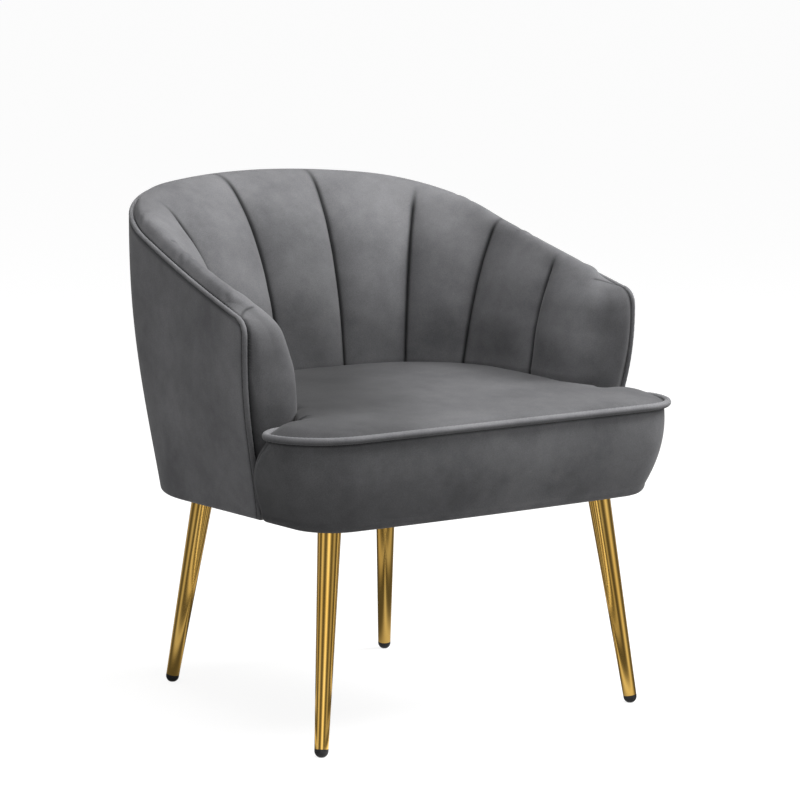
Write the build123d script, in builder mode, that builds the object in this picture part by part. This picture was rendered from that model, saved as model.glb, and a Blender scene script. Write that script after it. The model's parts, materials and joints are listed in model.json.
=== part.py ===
"""Tub chair with a channelled back, a T-shaped upholstered seat and four splayed tube legs.

Millimetres and degrees. The origin lies on the floor under the middle of the chair, +Z is up, the
chair faces -Y and is symmetric about the plane x = 0. Left and right are the sitter's.
"""
from build123d import *
from dataclasses import dataclass
from math import atan2, cos, hypot, pi, radians, sin, sqrt, tan
import os

os.makedirs("parts", exist_ok=True)

# Fits
fit_gap = 0.3
seam_gap = 1.6

# Widths follow the seat, which is widest at its piped top edge
seat_half_width = 325.0
seat_front = -314.5
tub_foot_inset = 38.0
tub_flare = 31.5
arm_depth = 94.0
front_foot_inset = 58.0
back_foot_inset = 134.0
spring_side_clear = 87.0

# Tub: a rounded U in plan, measured on the outside at its foot and at its upper plan
body_base = 303.0
tub_top = 740.0
tub_base_half_width = seat_half_width - tub_foot_inset
tub_base_front = -119.0
tub_base_back = 244.0
tub_base_corner = 170.0
tub_base_bow = 940.0
tub_top_half_width = seat_half_width + tub_flare
tub_top_front = -178.0
tub_top_back = 315.0
tub_top_corner = 183.0
tub_top_bow = 622.0
tub_top_splay = 9.2

# Side view of the tub: bowed arm front and rising rim
arm_foot_y = -131.0
arm_belly_y = -160.0
arm_belly_z = 435.0
arm_front_y = -168.0
rim_front_z = 574.0
rim_back_z = 728.0
rim_sag = 6.0
arm_corner_radius = 28.0

# Inside of the tub where the back meets the seat
inner_half_width = seat_half_width - arm_depth
inner_front = -150.0
inner_back = 154.0
inner_corner = 160.0
inner_bow = 1500.0
inner_line_z = 457.0

# Channels: where the seams stand along the U, from the back centre (0) to the arm front (1)
seam_shares_low = (0.115, 0.315, 0.505, 0.775, 1.0)
seam_shares_high = (0.105, 0.365, 0.615, 0.795, 1.0)
channel_fullness = 12.0
foot_fullness = 3.5
crest_fullness = 7.0
edge_fullness = 4.0
arm_lean = 0.20
back_lean = 0.13
arm_crest_inset = 26.0
back_crest_inset = 12.0
arm_crest_rise = 10.0
back_crest_rise = 3.0
roll_power = 2.1
roll_dip = 12.0
rim_edge_thickness = 7.0

# Layers of the tub wall, from the outside in
cover_thickness = 3.0
liner_thickness = 4.0
frame_thickness = 22.0
board_thickness = 3.0
facing_thickness = 10.0
tub_welt_diameter = 7.0

# Timber frame
base_panel_thickness = 18.0
base_opening_half_width = 165.0
base_opening_front = -150.0
base_opening_back = 130.0
base_opening_corner = 40.0
rail_height = 42.0
top_rail_height = 30.0
top_rail_cover = 16.0
side_rail_front = -165.0
side_rail_back = 110.0
arm_rail_back = 40.0
arm_post_width = 42.0
back_post_width = 44.0
side_post_y = 20.0

# Seat
seat_seam_z = 430.0
seat_crown_z = 458.0
seat_edge_rise = 3.5
seat_crown_y = 60.0
seat_belly_y = -140.0
seat_belly_z = 450.0
seat_wing_run = 110.0
seat_rear_clear = 3.5
seat_rear_splay = 4.0
seat_rear_corner = 165.0
seat_corner = 88.0
seat_bow = 3450.0
seat_mid_z = 365.0
seat_mid_taper = 12.3
seat_mid_setback = 9.9
seat_foot_taper = 30.6
seat_foot_setback = 25.0
seat_foot_corner = 68.0
seat_foot_bow = 5900.0
seat_welt_diameter = 10.0
boxing_thickness = 4.0
wing_corner = 24.0
deck_thickness = 4.0

# Suspension
spring_count = 5
spring_pitch = 2 * (tub_base_half_width - spring_side_clear) / (spring_count - 1)
spring_wire = 3.6
spring_loop_width = spring_pitch / 2
spring_bars = 16
clip_width = 24.0
clip_length = 16.0
clip_thickness = 1.5

# Legs
front_foot_x = seat_half_width - front_foot_inset
front_foot_y = -249.0
front_leg_outward = 0.1226
front_leg_forward = 0.1072
back_foot_x = seat_half_width - back_foot_inset
back_foot_y = 245.0
back_leg_outward = 0.1039
back_leg_backward = 0.1602
leg_top_diameter = 32.0
leg_foot_diameter = 19.0
leg_wall = 1.5
cap_height = 11.0
cap_flat_depth = 0.9
cap_stem_length = 18.0
plate_size = 56.0
plate_shift = 10.0
plate_thickness = 3.0
plate_corner = 8.0
screw_spacing = 40.0
screw_diameter = 4.5
screw_head_diameter = 8.5
screw_length = 19.0

# Underside
dust_cover_thickness = 1.0
dust_cover_inset = 12.0
staple_margin = 5.0
staple_length = 10.0
staple_wire = 0.7
staple_count = 14


def between(low, high, share):
    """Return the value a share of the way from low to high."""
    return low + (high - low) * share


@dataclass(frozen=True)
class Plan:
    """Rounded U in plan: straight splayed sides, corner arcs and a bowed closed end at +y."""

    half_width: float
    limit: float
    end: float
    corner: float
    bow: float
    splay: float = 0.0

    def mixed(self, other, share):
        """Return the plan a share of the way to another plan."""
        names = ("half_width", "limit", "end", "corner", "bow", "splay")
        return Plan(*(between(getattr(self, name), getattr(other, name), share) for name in names))

    def arcs(self):
        """Return the corner arc's centre and its first and last angle, measured from +y."""
        lean = radians(self.splay)
        side = self.half_width * cos(lean) + self.limit * sin(lean)
        start_x = (side - self.corner) * cos(lean)
        start_y = (side - self.corner) * sin(lean) - (self.end - self.bow)
        along = -start_x * sin(lean) + start_y * cos(lean)
        rest = start_x**2 + start_y**2 - (self.bow - self.corner) ** 2
        travel = sqrt(along**2 - rest) - along
        centre_x = start_x - travel * sin(lean)
        centre_y = start_y + travel * cos(lean)
        return centre_x, centre_y + self.end - self.bow, atan2(centre_x, centre_y), pi / 2 - lean

    def point(self, share, inset=0.0):
        """Return a point on the right half and its outward normal; share 0 is the closed end."""
        centre_x, centre_y, first, last = self.arcs()
        lean = radians(self.splay)
        corner_end_y = centre_y + self.corner * cos(last)
        side_run = (corner_end_y - self.limit) / cos(lean)
        bow_run = self.bow * first
        corner_run = self.corner * (last - first)
        walked = share * (bow_run + corner_run + side_run)
        if walked <= bow_run:
            angle = walked / self.bow
            radius = self.bow - inset
            return (radius * sin(angle), self.end - self.bow + radius * cos(angle)), (sin(angle), cos(angle))
        angle = min(first + (walked - bow_run) / self.corner, last)
        radius = self.corner - inset
        extra = max(0.0, walked - bow_run - corner_run)
        x = centre_x + radius * sin(angle) + extra * sin(lean)
        y = centre_y + radius * cos(angle) - extra * cos(lean)
        return (x, y), (sin(angle), cos(angle))

    def inset_of(self, x, y):
        """Return how far inside the outline a point of the right half lies."""
        centre_x, centre_y, first, last = self.arcs()
        angle = atan2(x - centre_x, y - centre_y)
        if angle < first:
            return self.bow - hypot(x, y - self.end + self.bow)
        if angle <= last:
            return self.corner - hypot(x - centre_x, y - centre_y)
        return self.corner - (x - centre_x) * sin(last) - (y - centre_y) * cos(last)

    def outline(self, inset, reach):
        """Return the corner points and arc middles of the right half, down to y = reach."""
        centre_x, centre_y, first, last = self.arcs()
        lean = radians(self.splay)
        bow = self.bow - inset
        corner = self.corner - inset
        bow_end = (bow * sin(first), self.end - self.bow + bow * cos(first))
        middle = (first + last) / 2
        corner_middle = (centre_x + corner * sin(middle), centre_y + corner * cos(middle))
        corner_end = (centre_x + corner * sin(last), centre_y + corner * cos(last))
        side_end = (corner_end[0] + (corner_end[1] - reach) * tan(lean), reach)
        return (0.0, self.end - inset), bow_end, corner_middle, corner_end, side_end


tub_base_plan = Plan(tub_base_half_width, tub_base_front, tub_base_back, tub_base_corner, tub_base_bow)
tub_top_plan = Plan(
    tub_top_half_width, tub_top_front, tub_top_back, tub_top_corner, tub_top_bow, tub_top_splay
)
inner_plan = Plan(inner_half_width, inner_front, inner_back, inner_corner, inner_bow)


def tub_plan(z):
    """Return the outside plan of the tub at a height."""
    return tub_base_plan.mixed(tub_top_plan, (z - body_base) / (tub_top - body_base))


def rim_height(y):
    """Return the height of the rim line over y in side view, a shallow sagging arc."""
    share = (y - arm_front_y) / (tub_top_back - arm_front_y)
    return between(rim_front_z, rim_back_z, share) - 4 * rim_sag * share * (1 - share)


def rim_point(share, inset=0.0):
    """Return the rim point (x, y, z) of the right half and its outward normal in plan."""
    z = rim_back_z
    for _ in range(40):
        (x, y), normal = tub_plan(z).point(share)
        z = rim_height(y)
    return (x - inset * normal[0], y - inset * normal[1], z), normal


def mirrored(point):
    """Return the point reflected in the plane of symmetry."""
    return (-point[0], *point[1:])


def u_section(z, plan, inset, reach, facing=1):
    """Return a horizontal face bounded by a rounded U, closed across y = reach; facing -1 flips y."""
    points = plan.outline(inset, reach)
    end, bow_end, corner_middle, corner_end, side_end = ((x, y * facing) for x, y in points)
    with BuildSketch(Plane.XY.offset(z)) as section:
        with BuildLine():
            ThreePointArc(mirrored(bow_end), end, bow_end)
            ThreePointArc(bow_end, corner_middle, corner_end)
            Line(corner_end, side_end)
            Line(side_end, mirrored(side_end))
            Line(mirrored(side_end), mirrored(corner_end))
            ThreePointArc(mirrored(corner_end), mirrored(corner_middle), mirrored(bow_end))
        make_face()
    return section.sketch


body_reach = 500.0
wall_reach = -210.0
rim_overrun = 30.0
wall_steps = 4
wall_levels = [between(body_base, tub_top, step / wall_steps) for step in range(wall_steps + 1)]


def arm_front_points(margin):
    """Return the foot, belly and tip of the bowed arm front in side view, set back by a margin."""
    foot = (arm_foot_y + margin, body_base)
    belly = (arm_belly_y + margin, arm_belly_z)
    tip = (arm_front_y + margin, rim_front_z)
    return foot, belly, tip


def arm_front_at(z):
    """Return y of the bowed arm front at a height, on the circle through its three points."""
    (y1, z1), (y2, z2), (y3, z3) = arm_front_points(0)
    twist = 2 * ((y1 - y3) * (z2 - z3) - (y2 - y3) * (z1 - z3))
    first = (y1 - y3) * (y1 + y3) + (z1 - z3) * (z1 + z3)
    second = (y2 - y3) * (y2 + y3) + (z2 - z3) * (z2 + z3)
    centre_y = (first * (z2 - z3) - second * (z1 - z3)) / twist
    centre_z = (second * (y1 - y3) - first * (y2 - y3)) / twist
    radius = hypot(y1 - centre_y, z1 - centre_z)
    return centre_y - sqrt(radius**2 - (z - centre_z) ** 2)


def behind_arm_front(margin, height):
    """Return the side view of everything behind the arm front, from the body's foot up to a height."""
    foot, belly, tip = arm_front_points(margin)
    with BuildSketch(Plane.YZ) as side:
        with BuildLine():
            ThreePointArc(foot, belly, tip)
            Polyline(tip, (tip[0], height), (body_reach, height), (body_reach, foot[1]), foot)
        make_face()
    return side.sketch


def side_section(front_margin, top_margin):
    """Return the side view of the tub, drawn in by a margin at the arm front and along the rim."""
    foot, belly, _ = arm_front_points(front_margin)
    middle_y = (arm_front_y + tub_top_back) / 2
    tip = (arm_front_y + front_margin, rim_height(arm_front_y + front_margin) - top_margin)
    with BuildSketch(Plane.YZ) as side:
        with BuildLine():
            ThreePointArc(foot, belly, tip)
            ThreePointArc(
                tip, (middle_y, rim_height(middle_y) - top_margin), (tub_top_back, rim_back_z - top_margin)
            )
            Line((tub_top_back, rim_back_z - top_margin), (body_reach, rim_back_z - top_margin))
            Line((body_reach, rim_back_z - top_margin), (body_reach, body_base))
            Line((body_reach, body_base), foot)
        make_face()
        corner = side.vertices().sort_by(lambda v: hypot(v.X - tip[0], v.Y - tip[1]))[0]
        fillet(corner, radius=max(6.0, arm_corner_radius - max(front_margin, top_margin, 0)))
    return side.sketch


def tub_wall(outer_inset, inner_inset):
    """Return the flared U wall between two insets from the outside of the tub, full height."""
    with BuildPart() as wall:
        loft([u_section(z, tub_plan(z), outer_inset, wall_reach) for z in wall_levels], ruled=True)
        loft(
            [u_section(z, tub_plan(z), inner_inset, wall_reach - 10) for z in wall_levels],
            ruled=True,
            mode=Mode.SUBTRACT,
        )
    return wall.part


def finish(part, label):
    """Label a piece and write it as its own file."""
    part.label = label
    export_step(part, f"parts/{label}.step")
    return part


# Insets of each layer of the wall
liner_inset = cover_thickness + fit_gap
frame_inset = liner_inset + liner_thickness + fit_gap
board_inset = frame_inset + frame_thickness + fit_gap
pad_inset = board_inset + board_thickness + fit_gap
welt_radius = tub_welt_diameter / 2
welt_margin = welt_radius + 5 * fit_gap
facing_inset = tub_welt_diameter + 3 * fit_gap
facing_back_margin = facing_thickness + 1.0
frame_front_margin = facing_back_margin + fit_gap
panel_bottom = body_base + plate_thickness + dust_cover_thickness
rail_bottom = panel_bottom + base_panel_thickness
rail_top = rail_bottom + rail_height
clip_height = spring_wire + fit_gap
deck_top = rail_top + clip_height + clip_thickness + fit_gap + deck_thickness
pad_bottom = deck_top + fit_gap
print("building the tub")

with BuildPart() as outer_cover:
    add(tub_wall(0, cover_thickness))
    extrude(side_section(welt_margin, welt_margin), amount=body_reach, both=True, mode=Mode.INTERSECT)
finish(outer_cover.part, "outer_cover")

with BuildPart() as outer_liner:
    add(tub_wall(liner_inset, liner_inset + liner_thickness))
    extrude(
        side_section(frame_front_margin, top_rail_cover), amount=body_reach, both=True, mode=Mode.INTERSECT
    )
    split(bisect_by=Plane.XY.offset(panel_bottom), keep=Keep.TOP)
finish(outer_liner.part, "outer_liner")

frame_wall = tub_wall(frame_inset, frame_inset + frame_thickness)


def frame_piece(label, x_range, y_range, z_range, below_rim=None, above_rim=None):
    """Cut one timber out of the frame wall.

    below_rim keeps what lies that far under the rim line, above_rim removes what lies under it.
    """
    with BuildPart() as piece:
        add(frame_wall)
        middle = [(low + high) / 2 for low, high in (x_range, y_range, z_range)]
        size = [high - low for low, high in (x_range, y_range, z_range)]
        with Locations(tuple(middle)):
            Box(*size, mode=Mode.INTERSECT)
        if below_rim is not None:
            extrude(
                side_section(frame_front_margin, below_rim), amount=body_reach, both=True, mode=Mode.INTERSECT
            )
        if above_rim is not None:
            extrude(
                side_section(-arm_corner_radius, above_rim), amount=body_reach, both=True, mode=Mode.SUBTRACT
            )
    return finish(piece.part, label)


top_rail_foot = top_rail_cover + top_rail_height
base_heights = (rail_bottom, rail_top)
post_heights = (rail_top, tub_top)
back_post_x = 1.5 * spring_pitch
rail_heights = (rail_top, tub_top)
post_top = top_rail_foot + fit_gap
arm_post_front = arm_front_y
arm_post_back = arm_belly_y + frame_front_margin + arm_post_width
for side, sign in (("right", -1), ("left", 1)):
    outward = sorted((0.0, sign * body_reach))
    back_x = sorted((sign * (back_post_x - back_post_width / 2), sign * (back_post_x + back_post_width / 2)))
    frame_piece(f"seat_side_rail_{side}", outward, (side_rail_front, side_rail_back), base_heights)
    frame_piece(
        f"arm_post_{side}", outward, (arm_post_front, arm_post_back), post_heights, below_rim=post_top
    )
    frame_piece(
        f"side_post_{side}",
        outward,
        (side_post_y - back_post_width / 2, side_post_y + back_post_width / 2),
        post_heights,
        below_rim=post_top,
    )
    frame_piece(f"back_post_{side}", back_x, (0.0, body_reach), post_heights, below_rim=post_top)
    frame_piece(
        f"arm_top_rail_{side}",
        outward,
        (wall_reach, arm_rail_back),
        rail_heights,
        below_rim=top_rail_cover,
        above_rim=top_rail_foot,
    )
frame_piece(
    "seat_back_rail",
    (-body_reach, body_reach),
    (side_rail_back + fit_gap, body_reach),
    base_heights,
)
frame_piece(
    "back_top_rail",
    (-body_reach, body_reach),
    (arm_rail_back + fit_gap, body_reach),
    rail_heights,
    below_rim=top_rail_cover,
    above_rim=top_rail_foot,
)

with BuildPart() as inner_board:
    add(tub_wall(board_inset, board_inset + board_thickness))
    extrude(
        side_section(frame_front_margin, top_rail_cover), amount=body_reach, both=True, mode=Mode.INTERSECT
    )
    split(bisect_by=Plane.XY.offset(deck_top), keep=Keep.TOP)
finish(inner_board.part, "inner_board")

print("building the channels")


def vector_along(start, end, share):
    """Return the vector a share of the way from start to end."""
    return start + (end - start) * share


@dataclass(frozen=True)
class SeamLine:
    """One seam of the channelled back, from the seat up, over the roll and out to the rim."""

    low_share: float
    high_share: float

    def foot(self):
        """Return where the seam meets the seat."""
        x, y = inner_plan.point(self.low_share)[0]
        return Vector(x, y, inner_line_z)

    def facing_back(self):
        """Return how far this seam faces forward like the back, from 0 on the arms to 1."""
        return max(0.0, min(1.0, rim_point(self.high_share)[1][1]))

    def crest_rise(self):
        """Return the height of the roll above the rim line."""
        return between(arm_crest_rise, back_crest_rise, self.facing_back())

    def crest_inset(self):
        """Return how far inside the rim line the roll is highest."""
        return between(arm_crest_inset, back_crest_inset, self.facing_back())

    def face(self, height):
        """Return a point of the inner face at a share of the height from the seat to the crest."""
        foot = self.foot()
        rim = Vector(*rim_point(self.high_share)[0])
        run = Vector(rim.X - foot.X, rim.Y - foot.Y, 0)
        crest_height = rim.Z + self.crest_rise() - foot.Z
        lean = between(arm_lean, back_lean, self.facing_back()) * crest_height
        roll = run.length - self.crest_inset() - lean
        reach = lean * height + roll * (1 - max(0.0, 1 - height**roll_power) ** (1 / roll_power))
        return foot + run.normalized() * reach + Vector(0, 0, crest_height * height)

    def wall(self, inset, z):
        """Return the point of the tub wall behind the seam at an inset and a height."""
        (x, y), _ = tub_plan(z).point(self.high_share, inset)
        return Vector(x, y, z)

    def rim(self, inset, drop):
        """Return the point beside the rim line at an inset, lowered by a drop."""
        (x, y, z), _ = rim_point(self.high_share, inset)
        return Vector(x, y, z - drop)


face_heights = (0.0, 0.25, 0.45, 0.62, 0.76, 0.87, 0.95)
backing_drop = top_rail_cover - 8.0
pad_edge_inset = facing_inset + fit_gap


def channel_stations(seam):
    """Return (front point, back point) pairs along a seam, from the deck to the rim."""
    rim_z = rim_point(seam.high_share)[0][2]
    foot = seam.foot()
    low_y = max(foot.Y, arm_front_at(pad_bottom) + facing_back_margin + fit_gap)
    stations = [(Vector(foot.X, low_y, pad_bottom), seam.wall(pad_inset, pad_bottom))]
    for height in face_heights:
        front = seam.face(height)
        back_z = min(front.Z, rim_z - backing_drop) - roll_dip * height**6
        stations.append((front, seam.wall(pad_inset, back_z)))
    stations.append((seam.face(1.0), seam.rim(seam.crest_inset(), backing_drop)))
    rim_back = seam.rim(-rim_overrun, rim_edge_thickness - welt_radius)
    stations.append((seam.rim(-rim_overrun, -welt_radius), rim_back))
    return stations


def depth_to_wall(start, direction):
    """Return how far a point can go along a direction before it meets the wall's inner board."""
    near, far = 0.0, tub_top_half_width
    for _ in range(40):
        middle = (near + far) / 2
        place = start + direction * middle
        if tub_plan(place.Z).inset_of(abs(place.X), place.Y) > pad_inset:
            near = middle
        else:
            far = middle
    return near


def channel_pad(first, second):
    """Return one stuffed channel between two lists of seam stations."""
    with BuildPart() as pad:
        sections = []
        count = len(first)
        for index, ((front_a, back_a), (front_b, back_b)) in enumerate(zip(first, second)):
            across = (front_b - front_a).normalized()
            start = front_a + across * (seam_gap / 2)
            end = front_b - across * (seam_gap / 2)
            backward = (back_a + back_b) * 0.5 - (front_a + front_b) * 0.5
            backward = (backward - across * backward.dot(across)).normalized()
            depth_a = (back_a - front_a).dot(backward)
            depth_b = (back_b - front_b).dot(backward)
            full = foot_fullness if index < 2 else channel_fullness
            if index < count - 2:
                depth_a = min(depth_a, depth_to_wall(start, backward))
                depth_b = min(depth_b, depth_to_wall(end, backward))
            else:
                full = crest_fullness if index == count - 2 else edge_fullness
            with BuildSketch(Plane(origin=start, x_dir=across, z_dir=across.cross(backward))) as section:
                width = (end - start).length
                with BuildLine():
                    ThreePointArc((0, 0), (width / 2, -full), (width, 0))
                    Polyline((width, 0), (width, depth_b), (0, depth_a), (0, 0))
                make_face()
            sections.append(section.sketch)
        loft(sections, ruled=True)
        loft(
            [
                u_section(z, tub_plan(z), pad_edge_inset, wall_reach)
                for z in (*wall_levels, tub_top + rim_overrun)
            ],
            ruled=True,
            mode=Mode.INTERSECT,
        )
    return pad.part


seams = [SeamLine(low, high) for low, high in zip(seam_shares_low, seam_shares_high)]
stations = [channel_stations(seam) for seam in seams]
mirror_stations = [(Vector(*mirrored(tuple(a))), Vector(*mirrored(tuple(b)))) for a, b in stations[0]]
finish(channel_pad(mirror_stations, stations[0]), "channel_centre")
for number, (near, far) in enumerate(zip(stations, stations[1:]), start=1):
    pad = channel_pad(near, far)
    finish(pad, f"channel_left_{number}")
    with BuildPart() as other_pad:
        mirror(pad, about=Plane.YZ)
    finish(other_pad.part, f"channel_right_{number}")


def arm_edge_x(z):
    """Return the half width of the tub at its arm front, at a height."""
    plan = tub_plan(z)
    return plan.half_width + (plan.limit - arm_front_y) * tan(radians(plan.splay))


def facing_blank():
    """Return the outline of an arm facing in front view: leaning sides under a half-moon top."""
    low = deck_top + fit_gap
    high = rim_front_z - facing_inset - arm_crest_inset / 2
    crown = rim_front_z + arm_crest_rise + crest_fullness / 2
    front_seam = seams[-1]
    outer_top = arm_edge_x(high) - facing_inset
    inner_top = front_seam.face((high - inner_line_z) / (crown - inner_line_z)).X
    with BuildSketch(Plane.XZ) as outline:
        with BuildLine():
            Line((arm_edge_x(low) - facing_inset, low), (outer_top, high))
            ThreePointArc((outer_top, high), ((outer_top + inner_top) / 2, crown), (inner_top, high))
            Line((inner_top, high), (inner_half_width, inner_line_z))
            Polyline(
                (inner_half_width, inner_line_z),
                (inner_half_width, low),
                (arm_edge_x(low) - facing_inset, low),
            )
        make_face()
    return outline.sketch


with BuildPart() as arm_facing_left:
    extrude(facing_blank(), amount=body_reach, both=True)
    extrude(behind_arm_front(1.0, tub_top), amount=body_reach, both=True, mode=Mode.INTERSECT)
    extrude(
        behind_arm_front(facing_back_margin, body_reach + tub_top),
        amount=body_reach,
        both=True,
        mode=Mode.SUBTRACT,
    )
finish(arm_facing_left.part, "arm_facing_left")
with BuildPart() as arm_facing_right:
    mirror(arm_facing_left.part, about=Plane.YZ)
finish(arm_facing_right.part, "arm_facing_right")


def arc_radii(points):
    """Return the largest tangent arc that each inner corner of a route allows."""
    radii = []
    for before, here, after in zip(points, points[1:], points[2:]):
        arrive = here - before
        leave = after - here
        turn = max(radians(arrive.get_angle(leave)), 0.001)
        radii.append(0.45 * min(arrive.length, leave.length) / tan(turn / 2))
    return radii


def tube(points, diameter):
    """Return a round tube along straight runs joined by tangent arcs."""
    with BuildPart() as swept:
        with BuildLine() as route:
            FilletPolyline(*points, radius=arc_radii(points))
        with BuildSketch(Plane(origin=route.line @ 0, z_dir=route.line % 0)):
            Circle(diameter / 2)
        sweep()
    return swept.part


def welt_on_arm(y, z):
    """Return the middle of the welt on the arm's outer edge at a place of the side view."""
    plan = tub_plan(z)
    x = plan.half_width + (plan.limit - y) * tan(radians(plan.splay))
    return Vector(x - welt_radius, y, z)


def welt_on_rim(share):
    """Return the middle of the welt on the rim."""
    return Vector(*rim_point(share, welt_radius)[0])


welt_foot = body_base + welt_radius
corner_y = arm_front_y + arm_corner_radius
rim_slope = rim_height(corner_y + 1) - rim_height(corner_y)
corner_z = rim_height(corner_y) - arm_corner_radius * hypot(1, rim_slope)
arm_welt = []
for step in range(8):
    z = between(welt_foot, corner_z - arm_corner_radius / 3, step / 7)
    arm_welt.append(welt_on_arm(arm_front_at(z), z))
for degrees in (165, 145, 125, 110):
    y = corner_y + arm_corner_radius * cos(radians(degrees))
    arm_welt.append(welt_on_arm(y, corner_z + arm_corner_radius * sin(radians(degrees))))
rim_steps = 24
rim_welt = [welt_on_rim(between(0.94, 0.02, step / rim_steps)) for step in range(rim_steps + 1)]
half_welt = arm_welt + rim_welt
other_half_welt = [Vector(*mirrored(tuple(point))) for point in reversed(half_welt)]
finish(tube(half_welt + other_half_welt, tub_welt_diameter), "tub_welt")

print("building the seat")
seat_plan = Plan(seat_half_width, 0.0, -seat_front, seat_corner, seat_bow)
seat_mid_plan = Plan(
    seat_half_width - seat_mid_taper, 0.0, -seat_front - seat_mid_setback, seat_corner, seat_bow
)
seat_foot_half_width = seat_half_width - seat_foot_taper
seat_overhang = seat_foot_half_width - tub_base_half_width
seat_foot_plan = Plan(
    seat_foot_half_width, 0.0, -seat_front - seat_foot_setback, seat_foot_corner, seat_foot_bow
)
seat_welt_radius = seat_welt_diameter / 2
boxing_top = seat_seam_z - seat_welt_radius - fit_gap
wing_back = arm_belly_y - welt_radius - 2 * fit_gap
seat_rear_plan = Plan(
    inner_half_width - seat_rear_clear,
    wing_back,
    inner_back - 2 * foot_fullness - fit_gap,
    seat_rear_corner,
    inner_bow,
    seat_rear_splay,
)

boxing_levels = ((body_base, seat_foot_plan), (seat_mid_z, seat_mid_plan), (boxing_top, seat_plan))
with BuildPart() as seat_boxing:
    loft([u_section(z, plan, 0, 60, -1) for z, plan in boxing_levels])
    loft(
        [u_section(z, plan, boxing_thickness, 50, -1) for z, plan in boxing_levels], mode=Mode.SUBTRACT
    )
    extrude(
        behind_arm_front(-welt_radius - fit_gap, tub_top), amount=body_reach, both=True, mode=Mode.SUBTRACT
    )
finish(seat_boxing.part, "seat_boxing")


def t_section(z, inset, wing_inset, setback):
    """Return the T-shaped plan of the seat at a height: rear between the arms, wings in front."""
    rear = seat_rear_plan.outline(inset, wing_back - setback)
    front = seat_plan.outline(wing_inset, setback - wing_back)
    end, bow_end, corner_middle, corner_end, notch = rear
    nose, nose_end, nose_middle, nose_side, wing = ((x, -y) for x, y in front)
    with BuildSketch(Plane.XY.offset(z)) as section:
        with BuildLine():
            ThreePointArc(mirrored(bow_end), end, bow_end)
            ThreePointArc(bow_end, corner_middle, corner_end)
            Polyline(corner_end, notch, wing, nose_side)
            ThreePointArc(nose_side, nose_middle, nose_end)
            ThreePointArc(nose_end, nose, mirrored(nose_end))
            ThreePointArc(mirrored(nose_end), mirrored(nose_middle), mirrored(nose_side))
            Polyline(mirrored(nose_side), mirrored(wing), mirrored(notch), mirrored(corner_end))
            ThreePointArc(mirrored(corner_end), mirrored(corner_middle), mirrored(bow_end))
        make_face()
    return section.sketch


foam_bottom = deck_top + fit_gap
foam_top = seat_seam_z - seat_welt_radius
crown_inset = seat_welt_diameter + 4 * fit_gap
crown_setback = crown_inset + seat_welt_radius + fit_gap
boxing_taper = max(seat_mid_taper, seat_mid_setback)
foam_wing_inset = boxing_taper + boxing_thickness + fit_gap
with BuildPart() as seat_foam:
    extrude(t_section(foam_bottom, fit_gap, foam_wing_inset, boxing_thickness), amount=foam_top - foam_bottom)
finish(seat_foam.part, "seat_foam")

with BuildPart() as seat_top:
    crown_bottom = foam_top + fit_gap
    edge_z = seat_seam_z + seat_edge_rise
    crown_plan = t_section(crown_bottom, fit_gap, crown_inset, crown_setback)
    extrude(crown_plan, amount=2 * (seat_crown_z - crown_bottom))
    with BuildSketch(Plane.YZ) as crown_side:
        with BuildLine():
            ThreePointArc((seat_front, edge_z), (seat_belly_y, seat_belly_z), (seat_crown_y, seat_crown_z))
            Polyline(
                (seat_crown_y, seat_crown_z),
                (body_reach, seat_crown_z),
                (body_reach, crown_bottom),
                (seat_front, crown_bottom),
                (seat_front, edge_z),
            )
        make_face()
    extrude(crown_side.sketch, amount=body_reach, both=True, mode=Mode.INTERSECT)
    seat_flat_half_width = seat_half_width - seat_wing_run
    wing_drop = seat_crown_z - edge_z
    wing_middle = (seat_half_width - 0.5 * seat_wing_run, edge_z + 0.75 * wing_drop)
    with BuildSketch(Plane.XZ) as crown_front:
        with BuildLine():
            Line((-seat_flat_half_width, seat_crown_z), (seat_flat_half_width, seat_crown_z))
            ThreePointArc((seat_flat_half_width, seat_crown_z), wing_middle, (seat_half_width, edge_z))
            Polyline(
                (seat_half_width, edge_z),
                (seat_half_width, crown_bottom),
                (-seat_half_width, crown_bottom),
                (-seat_half_width, edge_z),
            )
            ThreePointArc(
                (-seat_half_width, edge_z), mirrored(wing_middle), (-seat_flat_half_width, seat_crown_z)
            )
        make_face()
    extrude(crown_front.sketch, amount=body_reach, both=True, mode=Mode.INTERSECT)
finish(seat_top.part, "seat_top")

tuck_x = inner_half_width + wing_corner
welt_side = seat_plan.outline(0, -wing_back)
with BuildPart() as seat_welt:
    nose, nose_end, nose_middle, nose_side, wing = ((x, -y) for x, y in welt_side)
    back_y = wing_back - seat_welt_radius - fit_gap
    elbow = (wing[0] - wing_corner * (1 - sin(pi / 4)), back_y - wing_corner * (1 - sin(pi / 4)))
    with BuildLine(Plane.XY.offset(seat_seam_z)) as welt_route:
        Line((-tuck_x, back_y), (-wing[0] + wing_corner, back_y))
        ThreePointArc((-wing[0] + wing_corner, back_y), mirrored(elbow), (-wing[0], back_y - wing_corner))
        Line((-wing[0], back_y - wing_corner), mirrored(nose_side))
        ThreePointArc(mirrored(nose_side), mirrored(nose_middle), mirrored(nose_end))
        ThreePointArc(mirrored(nose_end), nose, nose_end)
        ThreePointArc(nose_end, nose_middle, nose_side)
        Line(nose_side, (wing[0], back_y - wing_corner))
        ThreePointArc((wing[0], back_y - wing_corner), elbow, (wing[0] - wing_corner, back_y))
        Line((wing[0] - wing_corner, back_y), (tuck_x, back_y))
    with BuildSketch(Plane(origin=welt_route.line @ 0, z_dir=welt_route.line % 0)):
        Circle(seat_welt_radius)
    sweep()
finish(seat_welt.part, "seat_welt")

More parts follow.
